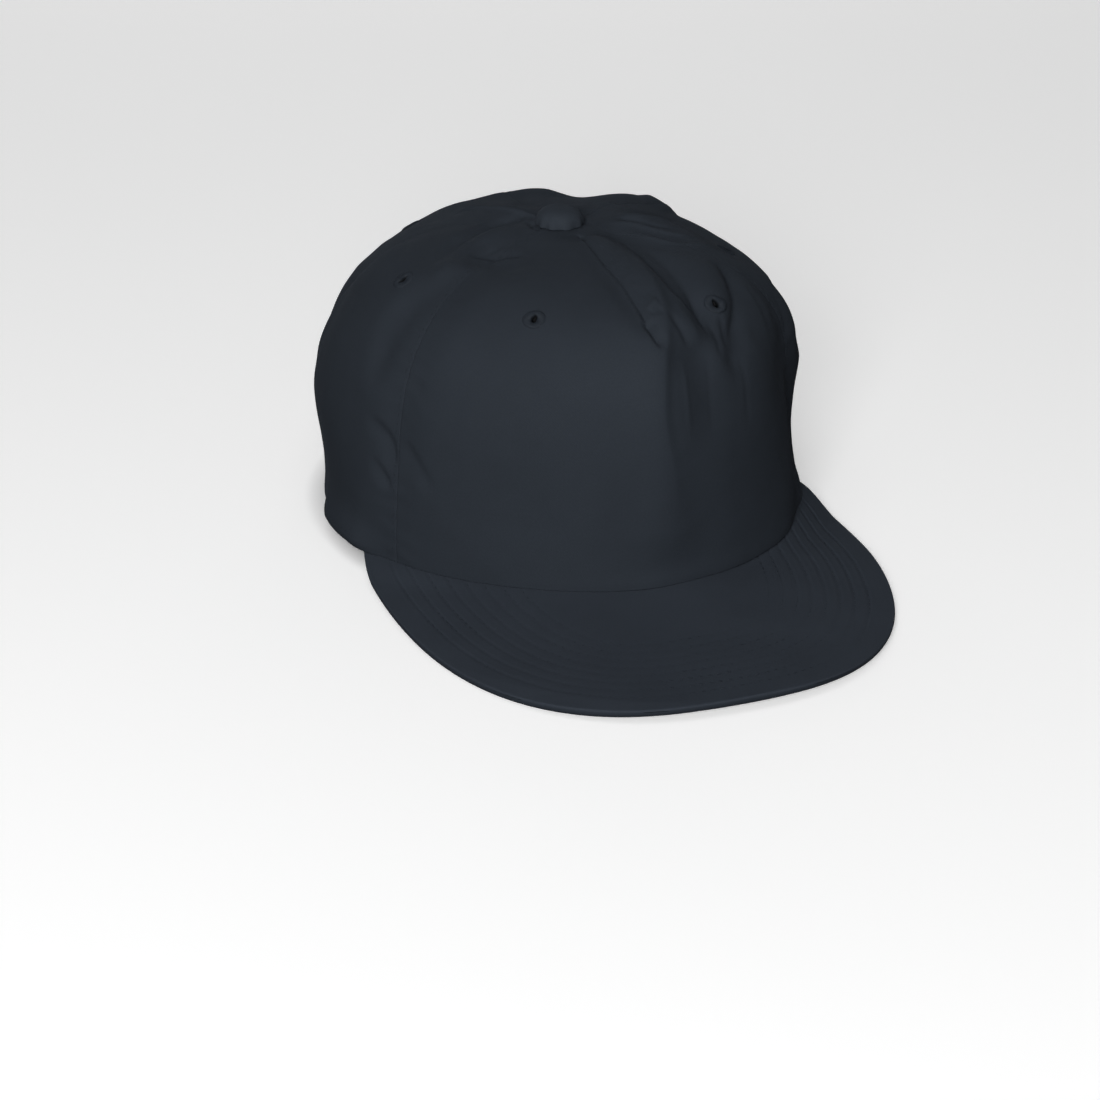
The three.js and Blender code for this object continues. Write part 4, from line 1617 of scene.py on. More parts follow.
@dataclass
class Eyelets:
    """The embroidered eyelets: rings of satin stitches bound over the cloth's edge."""

    crown: Crown
    radius: float = 4.0
    hole_half_width: float = 0.85
    hole_half_height: float = 1.7
    closed_radius: float = 0.02
    proud: float = 0.45
    sunk: float = 0.3
    threads: int = 44
    points_per_thread: int = 5
    profile_points: int = 16
    thread_relief: float = 0.12
    wobble: float = 0.03
    flatness: float = 0.7

    def ring(self, eyelet: Eyelet) -> Shell:
        """One ring.

        Its section is an oval between the upright oval hole and the round outer edge, from inside
        the cloth to just over it, and its size swells by |cos| of the turn for each thread. At the
        cloth's inner face the threads close to a pinhole. The weave attribute holds how deep in the
        hole a point lies, from 0 to 1.

        Args:
            eyelet: Where the ring is.

        Returns:
            The ring's shell.
        """
        place, outward = self.crown.cloth.place(eyelet.around, eyelet.rise)
        across = unit(np.cross([0.0, 0.0, 1.0], outward))
        upward = np.cross(outward, across)
        turns = np.linspace(0.0, 2.0 * math.pi, self.threads * self.points_per_thread, endpoint=False)
        profile = np.linspace(0.0, 2.0 * math.pi, self.profile_points, endpoint=False)
        half_sizes = self.hole_half_width, self.hole_half_height
        hole = 1.0 / np.hypot(np.cos(turns) / half_sizes[0], np.sin(turns) / half_sizes[1])
        middle = ((self.radius + hole) / 2.0)[:, None]
        half = ((self.radius - hole) / 2.0)[:, None]
        depth = (self.proud + self.crown.cloth.form.thickness + self.sunk) / 2.0
        centre = self.proud - depth
        swell = 1.0 + self.thread_relief * (np.abs(np.cos(turns * self.threads / 2.0)) - 0.5)
        wobble = 1.0 + self.wobble * np.sin(3.0 * turns + eyelet.around)
        squash = np.sign(np.sin(profile)) * np.abs(np.sin(profile)) ** self.flatness
        hole_side, upper_side = -np.cos(profile), np.sin(profile)
        closing = ramp(0.0, 0.5, hole_side) * ramp(-0.1, -0.6, upper_side)
        radius = middle * wobble[:, None] + half * np.cos(profile) * swell[:, None]
        radius = radius - (radius - self.closed_radius) * closing
        height = centre + depth * squash * swell[:, None]
        points = (
            place
            + radius[..., None] * np.cos(turns)[:, None, None] * across
            + radius[..., None] * np.sin(turns)[:, None, None] * upward
            + height[..., None] * outward
        )
        count, size = points.shape[:2]
        index = np.arange(count * size).reshape(count, size)
        after = np.roll(index, -1, axis=0)
        faces = np.stack([index, after, np.roll(after, -1, 1), np.roll(index, -1, 1)], axis=-1)
        # painted shade inside the eyelet's hole: near 1 on the hole's side low down, carried in the
        # weave attribute for the thread's finish
        shade = ramp(0.35, 0.75, hole_side) * ramp(0.75, 0.1, upper_side)
        shade = np.broadcast_to(np.stack([shade, shade], axis=-1), (count, size, 2))
        return Shell(points.reshape(-1, 3), faces.reshape(-1, 4), shade.reshape(-1, 2))

    def build(self, thread: Material) -> None:
        """Makes each eyelet's ring.

        Args:
            thread: Its finish.
        """
        for eyelet in self.crown.eyelets:
            made = make_object(eyelet.name + "_ring", self.ring(eyelet), thread)
            dress(made, "eyelet_thread", eyelet.name)


@dataclass
class Button:
    """The cloth-covered top button, gathered underneath."""

    form: CrownForm
    radius: float = 8.5
    height: float = 5.8
    underside: float = 0.8
    gap: float = 0.2
    side_power: float = 0.72
    top_power: float = 0.85
    gathers: int = 11
    gather_depth: float = 0.035
    stem_length: float = 2.8
    stem_share: float = 0.35

    def build(self, cloth: Material) -> None:
        """Makes the button.

        In section it is a superellipse from its underside to the top, drawn in by shallow
        gathers that fade out upwards, on a stem that goes down between the panels.

        Args:
            cloth: Its finish.
        """
        turns = np.linspace(0.0, 2.0 * math.pi, 132, endpoint=False)
        rise = np.radians(np.linspace(-60.0, 90.0, 44))
        width = self.radius * np.cos(rise).clip(0.0) ** self.side_power
        dome_level = self.height * np.sin(rise).clip(0.0) ** self.top_power
        level = np.where(rise > 0.0, dome_level, self.underside * np.sin(rise))
        level = level + self.form.height + self.gap
        low = ramp(math.radians(50.0), math.radians(-20.0), rise)
        uneven = self.gathers * turns[:, None] + 1.3 * np.sin(2.0 * turns[:, None])
        pleat = self.gather_depth * np.sin(uneven)
        width = width * (1.0 + pleat * low)
        width[:, -1] = 0.0
        x = width * np.cos(turns)[:, None]
        y = width * np.sin(turns)[:, None] + self.form.centre_y
        z = np.broadcast_to(level, x.shape)
        dome = np.stack([x, y, z], axis=-1)
        stem = dome[:, :1] * 1.0
        stem[..., 2] = self.form.height - self.stem_length
        stem[..., :2] = mix(np.array([0.0, self.form.centre_y]), stem[..., :2], self.stem_share)
        foot = stem * 1.0
        foot[..., :2] = [0.0, self.form.centre_y]
        points = np.concatenate([foot, stem, dome], axis=1)
        flat = points.reshape(-1, 3)
        shell = Shell(flat, turned_faces(*points.shape[:2]), flat[:, :2])
        made = make_object("top_button_cover", shell, cloth)
        weld(made)
        dress(made, "button_cloth", "top_button")


def weld(piece: bpy.types.Object) -> None:
    """Merges a mesh's points that lie in one place, as at a pole.

    Args:
        piece: The mesh's object.
    """
    mesh = bmesh.new()
    mesh.from_mesh(piece.data)
    bmesh.ops.remove_doubles(mesh, verts=mesh.verts, dist=1e-7)
    bmesh.ops.recalc_face_normals(mesh, faces=mesh.faces)
    mesh.to_mesh(piece.data)
    mesh.free()


@dataclass
class Peak:
    """The peak: two faces of cloth over a stiffener, with rows of stitching parallel to its edge.

    Attributes:
        pad: How far the cloth swells between the rows of stitches.
        sides: How far aside the grooves start to deepen, and how far aside they are deepest.
        rim_gap: How far the crown's rim lies over the peak.
        edge_rings: Insets from the edge, with the share of the thickness that the underside has there.
    """

    form: CrownForm
    rows: int = 8
    first_row: float = 8.6
    row_pitch: float = 4.9
    groove: float = 0.07
    side_grooves: tuple[float, float] = (0.18, 0.38)
    groove_width: float = 0.8
    side_groove_width: float = 0.6
    pad: float = 0.05
    sides: tuple[float, float] = (35.0, 70.0)
    lip: float = 0.6
    wave: float = 0.1
    rim_gap: float = 0.3
    edge_rings: tuple[tuple[float, float], ...] = ((0.0, 0.4), (0.7, 0.86), (2.4, 1.0))
    stations: int = 380
    rings: int = 96
    stitch_pitch: float = 3.3
    crown_clearance: float = 1.2

    def outline(self, count: int) -> Array:
        """The outer edge from the wearer's right to the left, evenly spaced, as x and forward.

        Two short quarter sines lead out of the peak's ends, and between them runs a superellipse
        |x/w|^n + |v/l|^n = 1. All of it then leads forwards by the skew times x.

        Args:
            count: How many points to make.

        Returns:
            The points.
        """
        peak = self.form.peak
        shoulder = peak.end_forward + peak.shoulder
        tip = self.form.front_depth + peak.length
        share = np.linspace(0.0, 1.0, 60, endpoint=False)
        end = self.form.peak_end_x
        x = end + (peak.half_width - end) * np.sin(share * math.pi / 2)
        side = np.stack([x, peak.end_forward + peak.shoulder * share], axis=-1)
        turn = np.linspace(-0.5, 0.5, 1201) * math.pi
        x = peak.half_width * np.sign(np.sin(turn)) * np.abs(np.sin(turn)) ** (2 / peak.roundness)
        forward = shoulder + (tip - shoulder) * np.cos(turn).clip(0.0) ** (2 / peak.roundness)
        front = np.stack([x, forward], axis=-1)
        line = np.concatenate([side * [-1.0, 1.0], front, side[::-1]])
        line[:, 1] += peak.skew * line[:, 0]
        lengths = run_lengths(line)
        return line_at(line, lengths, np.linspace(0.0, lengths[-1], count))

    def inner_line(self, count: int) -> Array:
        """The peak's edge under the crown, as x and forward."""
        around = np.linspace(-self.form.peak_end_around, self.form.peak_end_around, count)
        radius = self.form.oval_radius(around) - self.form.peak.under_crown
        return np.stack([radius * sine(around), radius * cosine(around)], -1)

    def thickness(self, run: Array) -> Array:
        """The peak's thickness where it is run wide from the crown to its edge."""
        peak = self.form.peak
        return mix(peak.end_thickness, peak.thickness, ramp(0.0, peak.shoulder, run))

    def edge_distance(self, flat: Array) -> Array:
        """Distance from the outer edge.

        Args:
            flat: Points as x and forward, in rows.

        Returns:
            The distances.
        """
        line = self.outline(500)
        step = np.diff(line, axis=0)
        distance = np.empty(flat.shape[:-1])
        for row in range(flat.shape[0]):
            offset = flat[row][:, None, :] - line[:-1]
            share = np.clip((offset * step).sum(-1) / (step * step).sum(-1), 0.0, 1.0)
            distance[row] = np.linalg.norm(offset - share[..., None] * step, axis=-1).min(axis=-1)
        return distance

    def row_depth(self, x: Array) -> Array:
        """Depth of the stitched rows' grooves."""
        right, left = self.side_grooves
        return mix(self.groove, np.where(x > 0.0, left, right), ramp(*self.sides, np.abs(x)))

    def relief(self, distance: Array, x: Array) -> Array:
        """Relief of the stitched rows: a bell-curve groove at each row, deeper towards the sides.

        Args:
            distance: Distance from the outer edge.
            x: How far aside, positive at the wearer's left.

        Returns:
            The relief, negative in a groove.
        """
        last = self.first_row + self.row_pitch * (self.rows - 1)
        place = np.clip(distance, self.first_row, last) - self.first_row
        nearest = np.round(place / self.row_pitch) * self.row_pitch + self.first_row
        width = mix(self.groove_width, self.side_groove_width, ramp(*self.sides, np.abs(x)))
        groove = self.row_depth(x) * np.exp(-(((distance - nearest) / width) ** 2))
        return self.pad * ramp(2.0, 5.0, distance) - groove

    def seat(self) -> float:
        """How high the peak's ends are when its front corners are on the floor.

        Returns:
            The height.
        """
        inner, outer = self.inner_line(45), self.outline(45)
        run = np.linalg.norm(outer - inner, axis=-1)
        thickness = self.thickness(run)
        lowest = np.inf
        widest = self.edge_rings[-1][0]
        for inset, share in self.edge_rings:
            part = 1.0 - np.minimum(inset / np.maximum(run, TINY), 0.6 * inset / widest)
            flat = mix(inner, outer, part[:, None])
            middle = self.form.peak_height(flat[:, 0], flat[:, 1], drooping=False) - thickness / 2.0
            lowest = min(lowest, float((middle - share * thickness / 2.0).min()))
        return -lowest

    def shell(self) -> Shell:
        """The peak's closed shell.

        Each section runs from under the crown to the outer edge along the bottom, out along a
        slant to a lip a little under the top face, and back along the top. The slant and the lip
        are arcs of superellipses.

        Returns:
            The shell.
        """
        inner, outer = self.inner_line(self.stations), self.outline(self.stations)
        run = np.linalg.norm(outer - inner, axis=-1)[:, None]
        half = self.thickness(run) / 2.0
        bend = np.minimum(self.form.peak.edge_radius / np.maximum(run, TINY), 0.5)
        slant = np.minimum(2.4 * bend, 0.6)
        turn = np.linspace(0.0, math.pi / 2.0, 9)[1:]
        steps = np.linspace(0.0, 1.0, self.rings)[None, :]
        upper_edge = 1.0 - bend * (1.0 - np.sin(turn))[None, :]
        lower_edge = 1.0 - slant * (1.0 - np.sin(turn) ** 1.5)[None, :]
        upper_share = np.concatenate([steps * (1.0 - bend), upper_edge], axis=1)
        lower_share = np.concatenate([steps * (1.0 - slant), lower_edge], axis=1)
        rise = self.lip + (1.0 - self.lip) * np.cos(turn).clip(0.03) ** 0.8
        fall = -self.lip + (1.0 + self.lip) * np.cos(turn) ** 1.3
        upper_thick = np.concatenate([np.ones(self.rings), rise])[None, :] * half
        lower_thick = np.concatenate([np.ones(self.rings), fall])[None, :] * half
        flat = inner[:, None, :] + (outer - inner)[:, None, :] * upper_share[..., None]
        under = inner[:, None, :] + (outer - inner)[:, None, :] * lower_share[..., None]
        middle = self.top_height(flat) - half
        below = self.top_height(under) - half
        distance = self.edge_distance(flat)
        under_crown = ramp(0.0, 4.0, np.linalg.norm(flat - inner[:, None, :], axis=-1))
        relief = self.relief(distance, flat[..., 0]) * under_crown
        place = np.stack([flat[..., 0], self.form.centre_y - flat[..., 1]], axis=-1)
        waves = self.wave * Ripple(21, 30.0).height(np.concatenate([place, middle[..., None]], -1))
        top = middle + upper_thick + relief + waves * under_crown
        bottom = np.maximum(below - lower_thick, 0.0)
        beneath = np.stack([under[..., 0], self.form.centre_y - under[..., 1]], axis=-1)
        upper = np.concatenate([place, top[..., None]], axis=-1)
        lower = np.concatenate([beneath, bottom[..., None]], axis=-1)
        sections = np.concatenate([lower, upper[:, ::-1]], axis=1)
        weave = np.concatenate([beneath, place[:, ::-1]], axis=1)
        return loft(sections, weave)

    def top_height(self, flat: Array) -> Array:
        """Height of the peak's top face over the floor, without its relief."""
        return self.form.seat - self.rim_gap + self.form.peak_height(flat[..., 0], flat[..., 1])

    def stitch_rows(self) -> Shell:
        """Rows of stitches on both faces, each at an even distance inside the edge.

        Returns:
            All the stitches as one shell.
        """
        stitch = Stitch(length=2.5, radius=0.17, lift=0.0)
        outline = self.outline(900)
        tangent = unit(np.gradient(outline, axis=0))
        inwards = np.stack([tangent[:, 1], -tangent[:, 0]], axis=-1)
        shells = []
        for number in range(self.rows):
            offset = self.first_row + number * self.row_pitch
            line = outline + inwards * offset
            around = np.degrees(np.arctan2(line[:, 0], line[:, 1]))
            clear = np.linalg.norm(line, axis=-1) > self.form.oval_radius(around) + self.crown_clearance
            line = line[clear]
            lengths = run_lengths(line)
            flat = line_at(line, lengths, stitch_middles(lengths[-1], self.stitch_pitch))
            shells.extend(self.stitch_faces(stitch, flat))
        return join_shells(shells)

    def stitch_faces(self, stitch: Stitch, flat: Array) -> list[Shell]:
        """One row's stitches on the top and on the underside.

        Args:
            stitch: The stitch.
            flat: The row's places, as x and forward.

        Returns:
            A shell for each face.
        """
        along = np.gradient(flat, axis=0)
        step = 0.5
        ahead = unit(along) * step
        top = self.top_height(flat)
        slope = (self.top_height(flat + ahead) - self.top_height(flat - ahead)) / 2.0
        direction = np.stack([ahead[:, 0], -ahead[:, 1], slope], axis=-1)
        tilt = (self.top_height(flat + [step, 0]) - self.top_height(flat - [step, 0])) / (2 * step)
        fall = (self.top_height(flat + [0, step]) - self.top_height(flat - [0, step])) / (2 * step)
        outward = unit(np.stack([-tilt, fall, np.ones(len(flat))], axis=-1))
        x, y = flat[:, 0], self.form.centre_y - flat[:, 1]
        groove = self.row_depth(x)
        upper = np.stack([x, y, top - groove], axis=-1)
        around = np.degrees(np.arctan2(x, flat[:, 1]))
        run = np.linalg.norm(flat, axis=-1) - self.form.oval_radius(around)
        depth = self.thickness(run + 12.0) - 0.6 * groove
        lower = np.stack([x, y, np.maximum(top - depth, stitch.radius)], axis=-1)
        return [stitch.row(upper, direction, outward), stitch.row(lower, direction, -outward)]

    def build(self, cloth: Material, thread: Material) -> None:
        """Makes the peak and its stitching."""
        dress(make_object("peak_cover", self.shell(), cloth), "peak_cloth", "peak")
        dress(make_object("peak_stitches", self.stitch_rows(), thread), "peak_cloth")


@dataclass
class InsideBand:
    """The sweatband inside the rim."""

    cloth: Cloth
    depth: float = 2.15
    thickness: float = 1.4
    lift: float = 1.0
    loose: float = 0.25
    rounds: tuple[float, float] = (0.4, 0.5)
    stitch_pitch: float = 3.2
    top_rise: float = 16.46
    end: float = 144.0
    columns: int = 340
    rows: int = 22

    def build(self, finish: Material, thread: Material) -> None:
        """Makes the band, which follows the crown's inside, and the stitches along its top.

        Args:
            finish: The band's finish.
            thread: The stitches' finish.
        """
        around = np.linspace(-self.end, self.end, self.columns)
        rises = np.linspace(0.0, self.top_rise, self.rows)
        grid = np.meshgrid(around, rises, indexing="ij")
        smooth = self.cloth.plain_surface(*grid)
        outward = rim_normals(smooth)
        lift = np.maximum(0.0, self.lift - 0.4 * np.arange(self.rows))[None, :, None]
        up = np.array([0.0, 0.0, 1.0])
        raised = smooth + up * lift
        loose = self.loose * Ripple(31, 24.0).height(smooth) * ramp(0.0, self.top_rise, grid[1])
        outer = raised - outward * self.depth
        inner = raised - outward * (self.depth + self.thickness + loose.clip(0.0))[..., None]
        middle = (outer + inner) / 2.0
        swing = (outer - inner) / 2.0
        turn = np.linspace(0.0, math.pi, 6)[1:-1]
        below, above = self.rounds
        low = middle[:, :1] + swing[:, :1] * np.cos(turn)[None, :, None]
        low = low - below * up * np.sin(turn)[None, :, None]
        high = middle[:, -1:] - swing[:, -1:] * np.cos(turn)[None, :, None]
        high = high + above * up * np.sin(turn)[None, :, None]
        sections = np.concatenate([high[:, 2:], outer[:, ::-1], low, inner, high[:, :2]], axis=1)
        weave = flat_places(run_lengths(outer[:, 0]), np.linspace(0.0, 30.0, sections.shape[1]))
        dress(make_object("sweatband_cloth", loft(sections, weave), finish), "sweatband_cloth",
              "sweatband")
        row = inner[2:-2, -3]
        lengths = run_lengths(row)
        wanted = stitch_middles(lengths[-1], self.stitch_pitch)
        places = line_at(row, lengths, wanted)
        facing = line_at(-outward[2:-2, -3], lengths, wanted)
        stitches = Stitch().row(places, np.gradient(places, axis=0), unit(facing))
        dress(make_object("sweatband_stitches", stitches, thread), "sweatband_cloth")


@dataclass(frozen=True)
class Slab:
    """A rectangle with round corners, between two heights and two depths inside the crown."""

    low: float
    high: float
    near: float
    far: float
    radius: float

    def grown(self, gap: float, radius: float) -> "Slab":
        """The slab grown by a gap all round."""
        return Slab(self.low - gap, self.high + gap, self.near - gap, self.far + gap, radius)

    def section(self, steps: int = 5) -> tuple[Array, Array]:
        """Heights and depths round the slab, symmetric about its middle.

        Args:
            steps: How many points a corner has.

        Returns:
            The heights and the depths.
        """
        radius = self.radius
        turn = np.radians(np.linspace(0.0, 90.0, steps))
        corners = (
            (self.high - radius, self.near + radius, np.cos(turn)[::-1], -np.sin(turn)[::-1]),
            (self.low + radius, self.near + radius, -np.sin(turn), -np.cos(turn)),
            (self.low + radius, self.far - radius, -np.cos(turn), np.sin(turn)),
            (self.high - radius, self.far - radius, np.sin(turn), np.cos(turn)),
        )
        height = np.concatenate([centre + radius * up for centre, _, up, _ in corners])
        depth = np.concatenate([centre + radius * out for _, centre, _, out in corners])
        middle = np.linspace(0.0, 1.0, 8)[1:-1]
        front = mix(height[steps - 1], height[steps], middle)
        back = mix(height[3 * steps - 1], height[3 * steps], middle)
        near, far = np.full(len(middle), self.near), np.full(len(middle), self.far)
        cuts = [steps, 3 * steps]
        heights, depths = np.split(height, cuts), np.split(depth, cuts)
        return (np.concatenate([heights[0], front, heights[1], back, heights[2]]),
                np.concatenate([depths[0], near, depths[1], far, depths[2]]))


@dataclass
class Closure:
    """The strap across the rear opening and the slider on it."""

    cloth: Cloth
    depth: float = 2.15
    start: float = 144.4
    bottom: float = 2.2
    width: float = 18.0
    thickness: float = 1.4
    corner_radius: float = 0.5
    stitch_inset: float = 2.0
    slider_around: float = 168.0
    slider_half_span: float = 5.0
    gap: float = 0.3
    wall: float = 1.3
    slider_rounds: tuple[float, float] = (1.2, 0.25)
    bevel: float = 0.35

    def band_places(self, around: Array, height: Array, depth: Array) -> Array:
        """Points inside the back of the crown at some heights and depths.

        Args:
            around: Directions, by column.
            height: Heights over the floor, by place in the section.
            depth: Depths inside the crown's outer face, by place in the section.

        Returns:
            The points, by column and place.
        """
        rises = np.linspace(0.0, 24.0, 25)
        grid = np.meshgrid(around, rises, indexing="ij")
        outer = self.cloth.plain_surface(*grid)
        outward = rim_normals(outer)
        made = np.empty((len(around), len(height), 3))
        for column in range(len(around)):
            levels = outer[column, :, 2]
            for axis in range(2):
                face = np.interp(height, levels, outer[column, :, axis])
                lean = np.interp(height, levels, outward[column, :, axis])
                made[column, :, axis] = face - lean * depth
            made[column, :, 2] = height
        return made

    def band(self, around: Array, slab: Slab) -> Shell:
        """A level band inside the back of the crown.

        Args:
            around: Directions of its sections.
            slab: Its section.

        Returns:
            The band's shell.
        """
        sections = self.band_places(around, *slab.section())
        return loft(sections, flat_places(run_lengths(sections[:, 0]), run_lengths(sections[0])))

    def build(self, cloth: Material, thread: Material, plastic: Material) -> None:
        """Makes the strap, its two rows of stitches and the slider.

        Args:
            cloth: The strap's finish.
            thread: The stitches' finish.
            plastic: The slider's finish.
        """
        around = np.linspace(self.start, 360.0 - self.start, 150)
        top, far = self.bottom + self.width, self.depth + self.thickness
        slab = Slab(self.bottom, top, self.depth, far, self.corner_radius)
        strap = self.band(around, slab)
        dress(make_object("rear_strap_cloth", strap, cloth), "strap_cloth", "rear_strap")
        rows = []
        for height in (self.bottom + self.stitch_inset, top - self.stitch_inset):
            for depth, facing in ((self.depth, 1.0), (far, -1.0)):
                fine = np.linspace(self.start + 1.0, 359.0 - self.start, 42)
                clear = np.abs(fine - self.slider_around) > self.slider_half_span + 1.0
                places = self.band_places(fine, np.array([height]), np.array([depth]))[:, 0]
                middle = np.array([0.0, self.cloth.form.centre_y, 0.0])
                outward = (places - middle) * [1.0, 1.0, 0.0]
                along = np.gradient(places, axis=0)
                rows.append(Stitch().row(places[clear], along[clear], facing * unit(outward[clear])))
        dress(make_object("rear_strap_stitches", join_shells(rows), thread), "strap_cloth")
        self.build_slider(slab, plastic)

    def build_slider(self, slab: Slab, plastic: Material) -> None:
        """Makes the slider: four bars round the strap, fused into one sleeve with round edges.

        Args:
            slab: The strap's section.
            plastic: The slider's finish.
        """
        around = self.slider_around + self.slider_half_span * np.linspace(-1.0, 1.0, 16)
        outside_round, hole_round = self.slider_rounds
        skin = slab.grown(self.gap + self.wall, outside_round)
        outer = self.band_places(around, *skin.section())
        hole = self.band_places(around, *slab.grown(self.gap, hole_round).section())
        count, size = outer.shape[:2]
        index = np.arange(count * size).reshape(count, size)
        after = np.roll(index, -1, axis=1)
        skin_faces = np.stack([index[:-1], index[1:], after[1:], after[:-1]], axis=-1)
        inside = index + count * size
        inside_after = np.roll(inside, -1, axis=1)
        hole_faces = np.stack([inside[:-1], inside_after[:-1], inside_after[1:], inside[1:]], axis=-1)
        first = np.stack([index[0], after[0], inside_after[0], inside[0]], axis=-1)
        last = np.stack([index[-1], inside[-1], inside_after[-1], after[-1]], axis=-1)
        faces = np.concatenate([skin_faces.reshape(-1, 4), hole_faces.reshape(-1, 4), first, last])
        points = np.concatenate([outer.reshape(-1, 3), hole.reshape(-1, 3)])
        made = make_object("strap_slider_sleeve", Shell(points, faces, points[:, :2]), plastic)
        bevel = made.modifiers.new("round_edges", "BEVEL")
        bevel.width = self.bevel * METRES
        bevel.segments = 3
        bevel.limit_method = "ANGLE"
        bevel.angle_limit = math.radians(50.0)
        dress(made, "slider_plastic", "strap_slider")


@dataclass
class Studio:
    """The floor, the soft lights and the camera at the photograph's angle.

    Attributes:
        azimuth: The camera's direction from the front, towards the wearer's left.
        aside: How far its axis passes to the right of the cap's middle.
        below: How far it passes over the middle, so negative below it.
        key_light: Azimuth, elevation, size and power, as in the next two.
    """

    form: CrownForm
    azimuth: float = -19.93
    elevation: float = 25.81
    roll: float = 0.53
    distance: float = 1030.0
    aside: float = -2.50
    below: float = -20.26
    pixels_per_unit: float = 2790.0
    sensor: float = 36.0
    floor_radius: float = 3000.0
    bend_radius: float = 1200.0
    wall_height: float = 5000.0
    key_light: tuple[float, ...] = (-27.0, 22.0, 550.0, 19.0)
    top_light: tuple[float, ...] = (-40.0, 70.0, 1200.0, 5.0)
    back_light: tuple[float, ...] = (166.0, 0.0, 1500.0, 13.0)
    light_distance: float = 1600.0
    aim_height: float = 50.0
    sky: float = 0.06
    ground: float = 0.03
    horizon: float = 0.1

    @staticmethod
    def direction(azimuth: float, elevation: float) -> Array:
        """The direction towards an azimuth and elevation in degrees, seen from the cap."""
        turn, rise = math.radians(azimuth), math.radians(elevation)
        level = math.cos(rise)
        return np.array([math.sin(turn) * level, -math.cos(turn) * level, math.sin(rise)])

    def camera(self) -> bpy.types.Object:
        """Makes the camera, aimed along the fitted direction with its axis off the cap's middle.

        Returns:
            The camera.
        """
        back = self.direction(self.azimuth, self.elevation)
        turn = math.radians(self.azimuth)
        level = np.array([math.cos(turn), math.sin(turn), 0.0])
        up = np.cross(back, level)
        roll = math.radians(self.roll)
        right = math.cos(roll) * level + math.sin(roll) * up
        above = -math.sin(roll) * level + math.cos(roll) * up
        middle = np.array([0.0, self.form.centre_y, 0.0])
        place = middle + back * self.distance + right * self.aside + above * self.below
        data = bpy.data.cameras.new("photo_camera")
        data.sensor_width = self.sensor
        data.lens = self.sensor * self.pixels_per_unit / PHOTO_PIXELS
        made = bpy.data.objects.new("photo_camera", data)
        columns = [[*axis, 0.0] for axis in (right, above, back)] + [[*(place * METRES), 1.0]]
        made.matrix_world = Matrix(columns).transposed()
        bpy.context.scene.collection.objects.link(made)
        bpy.context.scene.camera = made
        return made

    def light(self, name: str, azimuth: float, elevation: float, size: float,
              power: float) -> bpy.types.Object:
        """A square soft light aimed at the cap's middle.

        Args:
            name: Its name.
            azimuth: Its direction from the front, in degrees.
            elevation: Its direction over the level, in degrees.
            size: Its side.
            power: Its power in watts.

        Returns:
            The light.
        """
        data = bpy.data.lights.new(name, "AREA")
        data.shape = "SQUARE"
        data.size = size * METRES
        data.energy = power
        made = bpy.data.objects.new(name, data)
        aim = Vector((0.0, self.form.centre_y, self.aim_height)) * METRES
        away = Vector(self.direction(azimuth, elevation))
        made.location = aim + away * self.light_distance * METRES
        made.rotation_euler = away.to_track_quat("Z", "Y").to_euler()
        bpy.context.scene.collection.objects.link(made)
        return made

    def sweep(self) -> None:
        """Makes a level floor that bends up into a wall all round.

        Its section runs level to the bend, a quarter circle up it, and then straight up, and is
        carried round the upright axis.
        """
        turn = np.linspace(0.0, math.pi / 2.0, 17)
        radius = np.concatenate([
            [1.0, 400.0, 1500.0],
            self.floor_radius + self.bend_radius * np.sin(turn),
            [self.floor_radius + self.bend_radius],
        ])
        height = np.concatenate([
            [0.0, 0.0, 0.0],
            self.bend_radius * (1.0 - np.cos(turn)),
            [self.wall_height],
        ])
        angle = np.linspace(0.0, 2.0 * math.pi, 96, endpoint=False)[:, None]
        across, along = radius * np.cos(angle), radius * np.sin(angle)
        points = np.stack([across, along, np.broadcast_to(height, across.shape)], axis=-1)
        flat = points.reshape(-1, 3)
        shell = Shell(flat, turned_faces(*across.shape)[:, ::-1], flat[:, :2])
        floor = make_object("studio_sweep", shell, SweepFinish().material())
        floor.visible_diffuse = False
        floor.visible_glossy = False
        floor.visible_shadow = False

    def build(self) -> None:
        """Makes the camera, the lights, the sky and the floor."""
        self.camera()
        self.light("key_light", *self.key_light)
        self.light("top_light", *self.top_light).visible_glossy = False
        self.light("back_light", *self.back_light).visible_glossy = False
        self.light_sky()
        bpy.context.scene.view_settings.view_transform = "Standard"
        self.sweep()

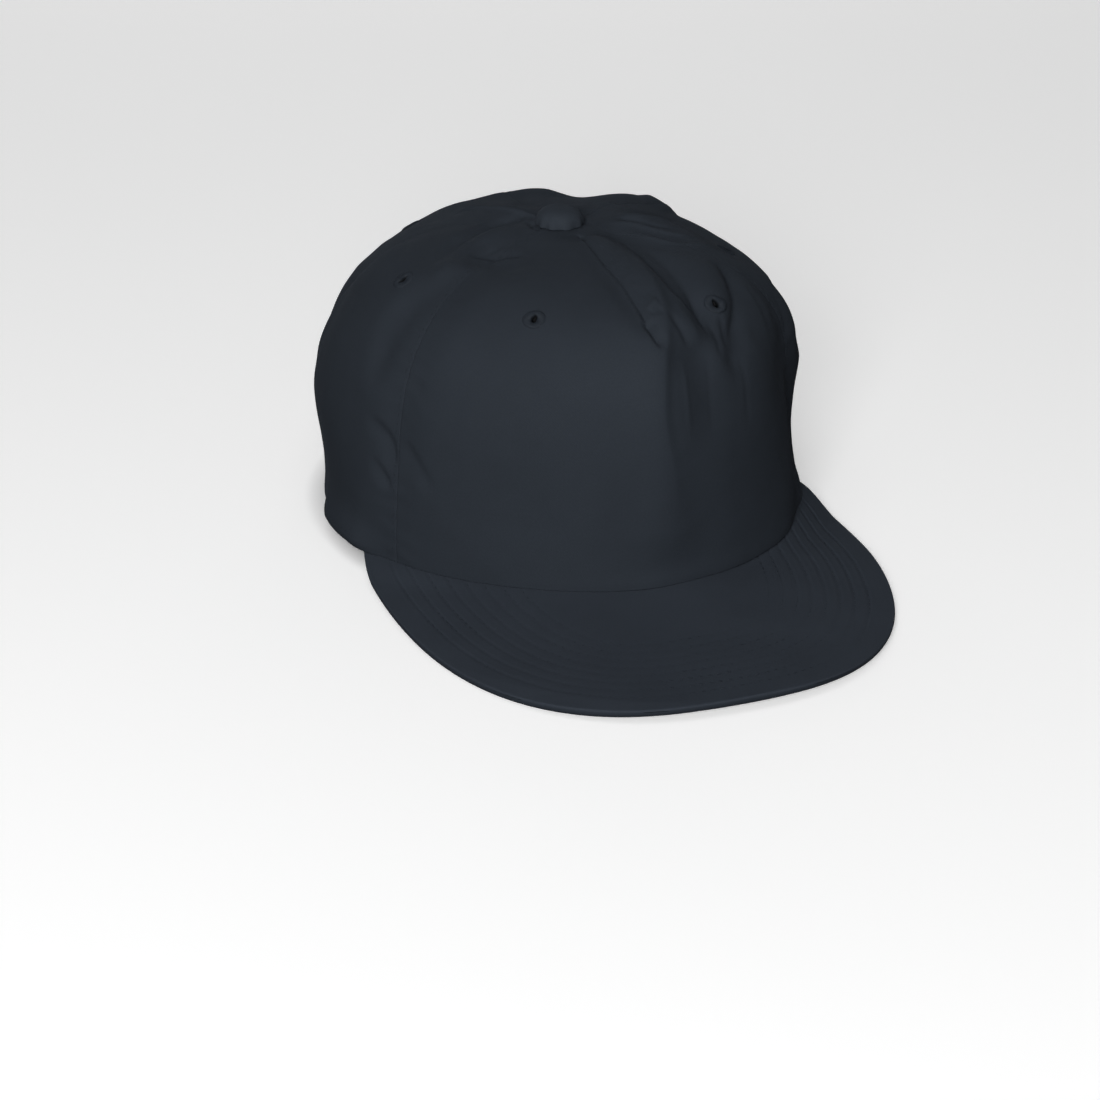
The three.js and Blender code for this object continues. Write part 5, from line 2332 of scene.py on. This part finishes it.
    def light_sky(self) -> None:
        """Makes the sky, bright over the horizon and dim below it, where the floor hides it."""
        world = bpy.data.worlds.new("studio_sky")
        world.use_nodes = True
        tree = world.node_tree
        place = tree.nodes.new("ShaderNodeTexCoord")
        parts = tree.nodes.new("ShaderNodeSeparateXYZ")
        range_node = tree.nodes.new("ShaderNodeMapRange")
        limits = {"From Min": -self.horizon, "From Max": self.horizon,
                  "To Min": self.ground, "To Max": self.sky}
        for name, value in limits.items():
            range_node.inputs[name].default_value = value
        tree.links.new(place.outputs["Generated"], parts.inputs[0])
        tree.links.new(parts.outputs["Z"], range_node.inputs["Value"])
        tree.links.new(range_node.outputs["Result"], tree.nodes["Background"].inputs["Strength"])
        tree.nodes["Background"].inputs["Color"].default_value = (1.0, 1.0, 1.0, 1.0)
        bpy.context.scene.world = world


def main() -> None:
    """Builds the studio and the cap, piece by piece."""
    logging.basicConfig(level=logging.INFO, format="%(name)s: %(message)s")
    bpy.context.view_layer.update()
    loose_peak = Peak(CrownForm())
    form = CrownForm(seat=loose_peak.seat() + loose_peak.rim_gap)
    cloth = Cloth(form)
    Studio(form).build()
    navy = ClothFinish("crown_navy_cloth", (0.0272, 0.0335, 0.0432)).material()
    # the peak's navy is a lighter copy of the crown's, painted light where the peak faces up to the
    # lamps
    peak_navy_painted_light = ClothFinish("peak_navy_cloth_painted_light", (0.0338, 0.0412, 0.0535)).material()
    # the button's navy is a lighter copy of the crown's, painted light on its upward-facing dome
    button_navy_painted_light = ClothFinish("button_navy_cloth_painted_light", (0.0320, 0.0392, 0.0500), pitch=0.6).material()
    band_navy = ClothFinish("sweatband_twill", (0.026, 0.030, 0.039), Weave.TWILL, 0.9).material()
    strap_navy = ClothFinish("strap_navy_cloth", (0.027, 0.031, 0.040)).material()
    # the threads are darker than their cloth as painted shade of the stitches' needle holes
    thread = ThreadFinish("navy_thread", (0.0205, 0.0255, 0.033)).material()
    peak_thread = ThreadFinish("peak_navy_thread_painted_shade", (0.0225, 0.028, 0.0365)).material()
    binding = ThreadFinish("eyelet_binding", (0.0235, 0.029, 0.0375), painted_hole_shade=0.92).material()
    plastic = PlasticFinish("slider_plastic", (0.011, 0.013, 0.016)).material()
    crown = Crown(cloth)
    crown.build(navy, thread)
    Eyelets(crown).build(binding)
    Button(form).build(button_navy_painted_light)
    Peak(form).build(peak_navy_painted_light, peak_thread)
    InsideBand(cloth).build(band_navy, thread)
    Closure(cloth).build(strap_navy, thread, plastic)


if __name__ == "__main__":
    main()
